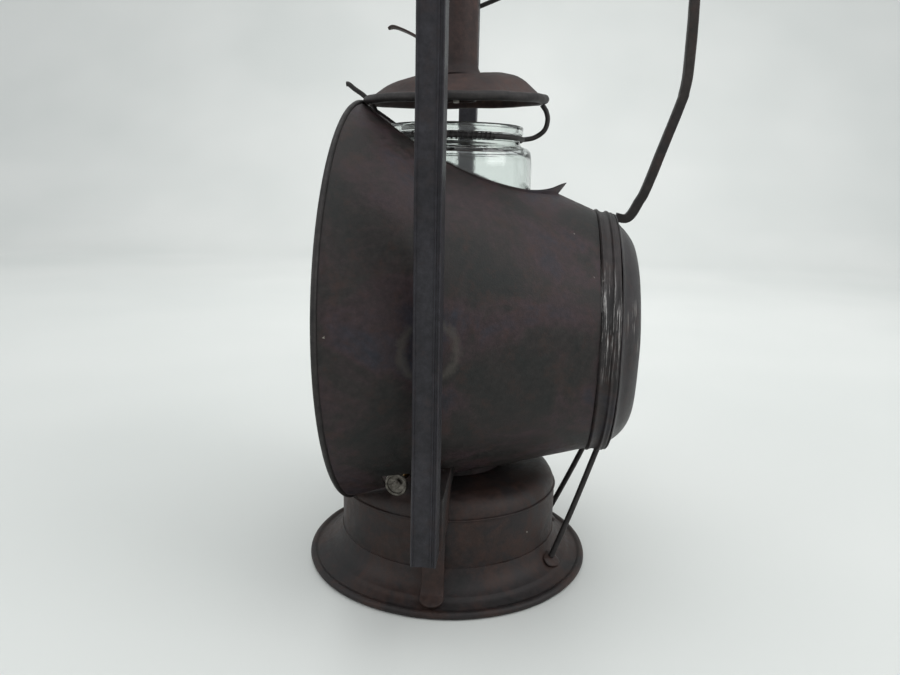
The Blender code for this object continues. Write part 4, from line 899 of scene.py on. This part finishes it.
for vert in bell.data.vertices:
    radius = math.hypot(vert.co.x, vert.co.y) / MM
    if 14 < radius < 41 and vert.co.x > 0:
        toward_back = (vert.co.x / MM / radius) ** 2
        vert.co.z += mm(2.0) * toward_back * math.sin(math.pi * (radius - 14) / 27)
complete(bell, BELL_JAPAN, "bell")
bell.data.materials.append(DARK_WIRE)
for face in bell.data.polygons:
    if math.hypot(face.center.x, face.center.y) > mm(rim_c - 1.0):
        face.material_index = 1

seat = BELL_TOP + 0.3
neck_outline = rounded([(9.3, 240.6, 0), (NECK_R, 240.6, 0), (NECK_R, seat, 0), (NECK_R + 3.4, seat, 0.3), (NECK_R + 1.8, seat + 1.4, 0.8),
                        (NECK_R + 0.3, seat + 4.5, 1.2), (NECK_R, 262, 0), (NECK_R, 295, 0.3), (NECK_R + 0.35, 295.3, 0.2),
                        (NECK_R + 0.3, 296, 0.2), (9.3, 296, 0.2)])
neck = dent(turned("bell_neck_skin", neck_outline, 64), 0.12, 12, 29.0)
complete(neck, BELL_JAPAN, "bell_neck")
root = -NECK_R - 0.8
tab_path = smooth_path([(root - out_by, 0, BELL_TOP + up) for out_by, up in
                        ((0, 6.4), (0, 12), (2.4, 14.6), (10.8, 19.6), (17.2, 22.4), (21, 23.4), (23.6, 22.6))], 5)
frames = []
for i, spot in enumerate(tab_path):
    run = tab_path[min(i + 1, len(tab_path) - 1)] - tab_path[max(i - 1, 0)]
    left = (tab_path[-1] - spot).length
    scale = math.sqrt(max(0.05, 1 - (1 - left / 3.5) ** 2)) if left < 3.5 else 1.0
    frames.append((spot, (0, 1, 0), Vector((0, 1, 0)).cross(run).normalized(), scale))
thumb = swept("thumb_tab_skin", rounded([(-3.5, -0.45, 0.2), (3.5, -0.45, 0.2), (3.5, 0.45, 0.2), (-3.5, 0.45, 0.2)], 2), frames)
complete(thumb, BELL_JAPAN, "thumb_tab")

# %% [markdown]
# ## Globe
#
# The globe is blown clear glass with a ground collar at its top. Glass needs both its faces and
# a rounded edge to bend light rightly, so its outline is closed and about 2 mm thick.

# %% Clear glass globe
GLOBE_LOW = DRUM_TOP + 16.3 + 1.5
GLOBE_TOP = 227.5
outer = [(35.8, GLOBE_LOW), (37.0, GLOBE_LOW + 3), (38.2, GLOBE_LOW + 8), (39.3, GLOBE_LOW + 18), (39.6, GLOBE_LOW + 30),
         (39.9, GLOBE_LOW + 46), (40, GLOBE_LOW + 62), (39.8, GLOBE_LOW + 80), (39.4, GLOBE_LOW + 94), (38.9, GLOBE_TOP - 37)]
outer += rounded([(38.9, GLOBE_TOP - 37, 0), (38.8, GLOBE_TOP - 17, 5), (38.0, GLOBE_TOP - 10.5, 4), (33.2, GLOBE_TOP - 8.6, 2.5),
                  (32.4, GLOBE_TOP - 7, 1.5), (32.4, GLOBE_TOP - 4.4, 0.7), (34.0, GLOBE_TOP - 3.6, 0.6), (34.0, GLOBE_TOP + 0.6, 0.8),
                  (31.9, GLOBE_TOP + 0.8, 0.8), (31.0, GLOBE_TOP - 0.8, 0.6), (30.6, GLOBE_TOP - 7, 2), (31.2, GLOBE_TOP - 10.2, 2),
                  (36.0, GLOBE_TOP - 12.4, 3), (36.8, GLOBE_TOP - 18, 3), (36.9, GLOBE_TOP - 37, 0)])[1:]
outer += [(37.4, GLOBE_LOW + 94), (37.8, GLOBE_LOW + 80), (38, GLOBE_LOW + 62), (37.9, GLOBE_LOW + 46), (37.6, GLOBE_LOW + 30),
          (37.3, GLOBE_LOW + 18), (36.2, GLOBE_LOW + 8), (35.0, GLOBE_LOW + 3), (33.9, GLOBE_LOW)]
globe = turned("globe_glass", outer, 128)
complete(globe, GLASS, "globe", angle=60)

# %% [markdown]
# ## Guard wires
#
# A wire ring grips the globe's neck. Its near half runs out at the mouth side as the finger
# tab and at the back as a loop under the bell's rim, and a fine coil slipped over it keeps it
# tight. These are all bent wire, so each is a smooth path with a round section.

# %% Guard wires and their coil
RING_Z = GLOBE_TOP - 5.4
WIRE_R = 1.25
COIL_R = 1.9
RING_R = 31.8 + 0.2 + COIL_R + 0.35
tab = [(-BELL_R - 9.6, 0, RIM_Z + 7.6), (-BELL_R - 8.2, 0, RIM_Z + 7.4), (-BELL_R - 5.4, 0, RIM_Z + 5.2), (-BELL_R - 0.4, 0, RIM_Z + 1.8),
       (4.6 - BELL_R, 0, RIM_Z - 3.8), (6.8 - BELL_R, 0, RING_Z + 7), (8.4 - BELL_R, 0, RING_Z + 1.6)]
near = [(-RING_R * math.cos(math.radians(a)), -RING_R * math.sin(math.radians(a)), RING_Z) for a in range(8, 177, 12)]
loop = [(BELL_R - 6.6, 0, RING_Z + 1.2), (BELL_R - 1.9, 0, RING_Z + 4.6), (BELL_R - 0.4, 0, RING_Z + 9.4),
        (BELL_R - 1.2, 0, RING_Z + 13.6), (BELL_R - 3.4, 0, RIM_Z - BEAD + 0.5)]
guard = bent_wire("guard_wire_near_skin", tab + near + loop, WIRE_R, steps=5)
complete(guard, DARK_WIRE, "guard_wire_near")
far = [(-RING_R * math.cos(math.radians(a)), RING_R * math.sin(math.radians(a)), RING_Z) for a in range(8, 173, 12)]
complete(bent_wire("guard_wire_far_skin", far, WIRE_R, steps=5), DARK_WIRE, "guard_wire_far")
coil = []
for k in range(18 * 10 + 1):
    share = k / 180
    around = math.radians(60 + 66 * share)
    twist = math.tau * 18 * share
    reach = RING_R + (COIL_R - 0.1) * math.cos(twist)
    coil.append((-reach * math.cos(around), -reach * math.sin(around), RING_Z + (COIL_R - 0.1) * math.sin(twist)))
complete(bent_wire("guard_spring_skin", coil, 0.3, steps=1, roundness=1), DARK_WIRE, "guard_spring")

# %% [markdown]
# ## Struts, handle and bail
#
# Two stay wires run from the foot up to the band, soldered at their feet. The rear handle is
# strip folded into a shallow channel and bent by hand, which is why its corners are soft. The
# bail swings on studs riveted to the tubes, and rests back against the handle.

# %% Stay wires and their solder
mid = BAND_X + 9.3 / 2
for word, foot, top in (("near", (56.8, -27.0), (1.0, -19.0)), ("far", (56.8, 27.0), (2.2, 17.0))):
    under_r = REAR_R + 0.9 + 0.3 + 1.5
    high = Vector((mid + top[0], top[1], hood_centre(mid) - math.sqrt(under_r ** 2 - top[1] ** 2) + 0.6))
    base = Vector((foot[0], foot[1], 11.0))
    bow = (base + high) / 2 + Vector((0.5, 0, 0.3))
    tucked = high + (high - base).normalized() * 4.2
    stay = bent_wire(word + "_strut_skin", [base, bow, high, tucked], 1.5, steps=8)
    complete(stay, DARK_WIRE, word + "_strut")
    bpy.ops.object.select_all(action="DESELECT")
    bpy.ops.mesh.primitive_uv_sphere_add(segments=32, ring_count=16, radius=mm(4.6), location=(0, 0, 0))
    blob = bpy.context.object
    blob.name = word + "_strut_solder"
    blob.scale = (1.25, 1.05, 0.3)
    stand_out = Vector((foot[0], foot[1], 0)).normalized()
    stand(blob, (foot[0], foot[1], 9.4), stand_out * 0.75 + Vector((0, 0, 1)))
    dent(blob, 0.4, 5.5, 31.0 + foot[1])
    complete(blob, FOOT_JAPAN, word + "_strut", stands_for=False)

# %% Rear handle
SEAT_Z = hood_centre(CAP_X) + C + 3.8 + 2.25 + 0.3
KINK_X = BAND_X + 39.8
BAIL_Z = 306.0
BAIL_H = 98.0
BAIL_REST = math.radians(70)
rest_x = TUBE_X + BAIL_H * math.sin(BAIL_REST)
rest_z = BAIL_Z + BAIL_H * math.cos(BAIL_REST) - 1.4 - 2.25 - 0.3
corners = [(CAP_X + 1.2, SEAT_Z + 0.8), (CAP_X + 4.5, SEAT_Z), (CAP_X + 7, SEAT_Z + 0.5), (CAP_X + 9.4, SEAT_Z + 3.4),
           (CAP_X + 12, SEAT_Z + 8.4), (CAP_X + 15, SEAT_Z + 14.6), (CAP_X + 22, SEAT_Z + 35.5), (KINK_X - 1.1, SEAT_Z + 57),
           (KINK_X - 0.2, SEAT_Z + 61), (KINK_X + 0.8, SEAT_Z + 68), (KINK_X + 1.2, SEAT_Z + 80), (KINK_X + 1.2, BAIL_Z - 6),
           (KINK_X + 0.4, BAIL_Z + 12),
           (rest_x + 10, rest_z - 5), (rest_x + 4, rest_z - 0.6), (rest_x - 8, rest_z), (rest_x - 30, rest_z),
           (52, ELBOW_Z - 3), (CROWN_R + 0.8, ELBOW_Z)]
grip = smooth_path([(x, 0, z) for x, z in corners], 5)
frames = []
for i, spot in enumerate(grip):
    run = grip[min(i + 1, len(grip) - 1)] - grip[max(i - 1, 0)]
    frames.append((spot, (0, 1, 0), Vector((0, 1, 0)).cross(run).normalized(), 1.0))
channel = [(-3.0, -1.9), (-2.2, -2.2), (2.2, -2.2), (3.0, -1.9), (3.0, 1.7), (2.6, 2.2), (2.1, 1.9), (1.7, -0.6), (-1.7, -0.6),
           (-2.1, 1.9), (-2.6, 2.2), (-3.0, 1.7)]
handle = swept("rear_handle_skin", channel, frames)
dent(handle, 0.2, 14, 37.0)
complete(handle, HANDLE_JAPAN, "rear_handle", angle=32)

# %% Bail and its studs
BAIL_Y = TUBE_OUT + 3.1
lean = Vector((math.sin(BAIL_REST), 0, math.cos(BAIL_REST)))
pivot = Vector((TUBE_X, 0, BAIL_Z))
path = []
for k in range(61):
    a = math.radians(2.2 + (180 - 4.4) * k / 60)
    path.append(pivot + Vector((0, -BAIL_Y * math.cos(a), 0)) + lean * (BAIL_H * math.sin(a)))
bail = bent_wire("bail_skin", path, 1.4, steps=2)
for sign in (-1, 1):
    bpy.ops.object.select_all(action="DESELECT")
    bpy.ops.mesh.primitive_torus_add(major_segments=40, minor_segments=12, major_radius=mm(3.8), minor_radius=mm(1.3))
    eye = bpy.context.object
    stand(eye, (TUBE_X, sign * BAIL_Y, BAIL_Z), (0, 1, 0))
    modify(bail, "BOOLEAN", operation="UNION", solver="EXACT", object=eye)
    bpy.data.objects.remove(eye, do_unlink=True)
complete(bail, DARK_WIRE, "bail")
for sign in (-1, 1):
    side_word = "near" if sign < 0 else "far"
    stud = turned(side_word + "_bail_stud", [(0, 0.3)] + rounded([(0, 0.3, 0), (4.5, 0.3, 0.2), (4.5, 1.1, 0.2), (2.1, 1.1, 0.3),
                                             (2.1, 4.8, 0.2), (3.6, 4.8, 0.3), (3.4, 6.0, 0.7), (0, 6.2, 0)])[1:], 32)
    complete(stand(stud, (TUBE_X, sign * TUBE_OUT, BAIL_Z), (0, sign, 0)), TUBE_JAPAN, side_word + "_bail_ear")

# %% [markdown]
# ## Burner and winder
#
# Through the mouth and the glass one sees the brass plate that carries the globe, pierced for
# draught, and the domed cone with its flame slot. The winder's thin wheel shows below the
# hood. They are turned like the rest, then pierced.

# %% Globe plate, cone and winder wheel
plate_z = DRUM_TOP + 16.3
plate = turned("globe_plate_skin", rounded([(19, plate_z, 0.2), (40, plate_z, 0.4), (40, plate_z + 3.2, 0.3), (39.2, plate_z + 3.2, 0.3),
                                            (39.0, plate_z + 1.1, 0.4), (19, plate_z + 1.1, 0.2)]), 96)
for k in range(24):
    around = math.tau * k / 24
    bpy.ops.object.select_all(action="DESELECT")
    bpy.ops.mesh.primitive_cylinder_add(vertices=16, radius=mm(1.5), depth=mm(8),
                                        location=mm(26.5 * math.cos(around), 26.5 * math.sin(around), plate_z))
    cut_away(plate, bpy.context.object)
complete(plate, BRASS, "globe_plate")
cone_z = DRUM_TOP + 14.3
cone_outline = rounded([(13.2, cone_z, 0), (18.2, cone_z, 0.2), (18.2, cone_z + 0.8, 0.3), (17, cone_z + 1.7, 0.8),
                        (15.5, cone_z + 8.7, 3), (12, cone_z + 15.7, 3), (9, cone_z + 18.3, 0)])
cone_outline += [(0, cone_z + 19.3), (0, cone_z + 18.5)]
cone_outline += rounded([(8.6, cone_z + 17.5, 0), (11.3, cone_z + 15.1, 2), (14.7, cone_z + 8.5, 2), (16.1, cone_z + 0.9, 0.3),
                         (13.2, cone_z + 0.8, 0)])
start = cone_outline.index((0, cone_z + 18.5))
cone_outline = cone_outline[start:] + cone_outline[:start]
cone = turned("burner_cone_skin", cone_outline, 64)
bpy.ops.object.select_all(action="DESELECT")
bpy.ops.mesh.primitive_cube_add(size=1.0)
flame_slot = bpy.context.object
flame_slot.scale = mm(17.8, 4.8, 18)
stand(flame_slot, (0, 0, cone_z + 19), (0, 0, 1), (-0.24, -0.971, 0))
cut_away(cone, flame_slot)
complete(cone, BRASS, "burner_cone")
SHAFT_DIR = Vector((-0.24, -0.971, 0)).normalized()
SHAFT_START = Vector((-4.854, 1.2, 59.6))
wheel = turned("winder_wheel_skin", [(0, 60.3)] + rounded([(0, 60.3, 0), (2.2, 60.3, 0.2), (2.2, 61.0, 0.2), (4.2, 61.0, 0.2), (4.3, 60.4, 0.2),
                                     (5.5, 60.4, 0.4), (5.8, 61.4, 0.5), (5.5, 62.4, 0.4), (4.3, 62.4, 0.3), (4.2, 61.8, 0.2),
                                     (1.8, 61.8, 0.2), (1.8, 62.6, 0.2), (0, 62.7, 0)])[1:], 48)
bpy.ops.object.select_all(action="DESELECT")
bpy.ops.mesh.primitive_cube_add(size=1.0, location=mm(0, 0, 62.4))
plate_tab = bpy.context.object
plate_tab.scale = mm(5.6, 3.2, 1.6)
one_selected(plate_tab)
bpy.ops.object.transform_apply(location=True, rotation=True, scale=True)
soften(plate_tab, 0.3)
modify(wheel, "BOOLEAN", operation="UNION", solver="EXACT", object=plate_tab)
bpy.data.objects.remove(plate_tab, do_unlink=True)
complete(stand(wheel, SHAFT_START, SHAFT_DIR), WINDER_TIN, "winder_wheel")


# %% [markdown]
# ## The studio
#
# The lamp stands on a plain pale floor that curves up into a pale wall, with large soft lights,
# so its dark skin shows by broad reflections. The camera stands a little above the bell and
# looks down at the lamp from its near side, close enough to give strong perspective.

# %% Floor, lights and camera
bpy.ops.object.select_all(action="DESELECT")
bpy.ops.mesh.primitive_grid_add(x_subdivisions=2, y_subdivisions=24, size=6.0, location=(0, 1.0, 0))
floor = bpy.context.object
floor.name = "studio_sweep"
for vert in floor.data.vertices:
    back = vert.co.y - 0.4
    if back > 0:
        vert.co.z = back * back * 0.75
bpy.ops.object.shade_smooth()
material, tree, shader, where = new_material("pale_studio_paint")
tint = add(tree, "ShaderNodeTexNoise", {"Vector": where, "Scale": per(400), "Detail": 2.0})
tone = ramp(tree, tint.outputs["Fac"], [(0.3, "#d2d5d2"), (0.7, "#dadcd9")])
tree.links.new(tone.outputs[0], shader.inputs["Base Color"])
shader.inputs["Roughness"].default_value = 0.35
floor.data.materials.append(material)

world = bpy.data.worlds.new("soft_studio")
bpy.context.scene.world = world
world.use_nodes = True
world.node_tree.nodes["Background"].inputs["Color"].default_value = srgb("#eef1f3")
world.node_tree.nodes["Background"].inputs["Strength"].default_value = 0.8
bpy.context.scene.view_settings.view_transform = "Standard"


def soft_light(name, location, aim, size, watts):
    """A square area light that faces a point."""
    lamp = bpy.data.lights.new(name, "AREA")
    lamp.size = size
    lamp.energy = watts
    holder = bpy.data.objects.new(name, lamp)
    bpy.context.scene.collection.objects.link(holder)
    holder.location = location
    holder.rotation_euler = (Vector(aim) - Vector(location)).to_track_quat("-Z", "Y").to_euler()
    return holder


soft_light("overhead_softbox", (0.2, -0.2, 1.6), (0, 0, 0.1), 1.4, 10)
soft_light("left_softbox", (-1.3, -0.7, 0.8), (0, 0, 0.15), 1.0, 4)
soft_light("right_softbox", (1.3, -0.5, 0.8), (0, 0, 0.15), 0.9, 7)

soft_light("backdrop_softbox", (0, 0.9, 1.3), (0, 1.5, 0.7), 1.0, 9)

CAMERA_PLACE = mm(34.6, -385.0, 200.0)
CAMERA_DOWN = math.radians(11.75)
CAMERA_YAW = math.radians(5.25)
CAMERA_ROLL = math.radians(1.14)
lens = bpy.data.cameras.new("studio_camera")
lens.sensor_width = 36.0
lens.lens = 29.6
lens.clip_start = 0.01
camera = bpy.data.objects.new("studio_camera", lens)
bpy.context.scene.collection.objects.link(camera)
turn = Matrix.Rotation(CAMERA_YAW, 4, "Z") @ Matrix.Rotation(math.pi / 2 - CAMERA_DOWN, 4, "X")
turn = turn @ Matrix.Rotation(CAMERA_ROLL, 4, "Z")
camera.matrix_world = Matrix.Translation(CAMERA_PLACE) @ turn
bpy.context.scene.camera = camera
print("studio ready")
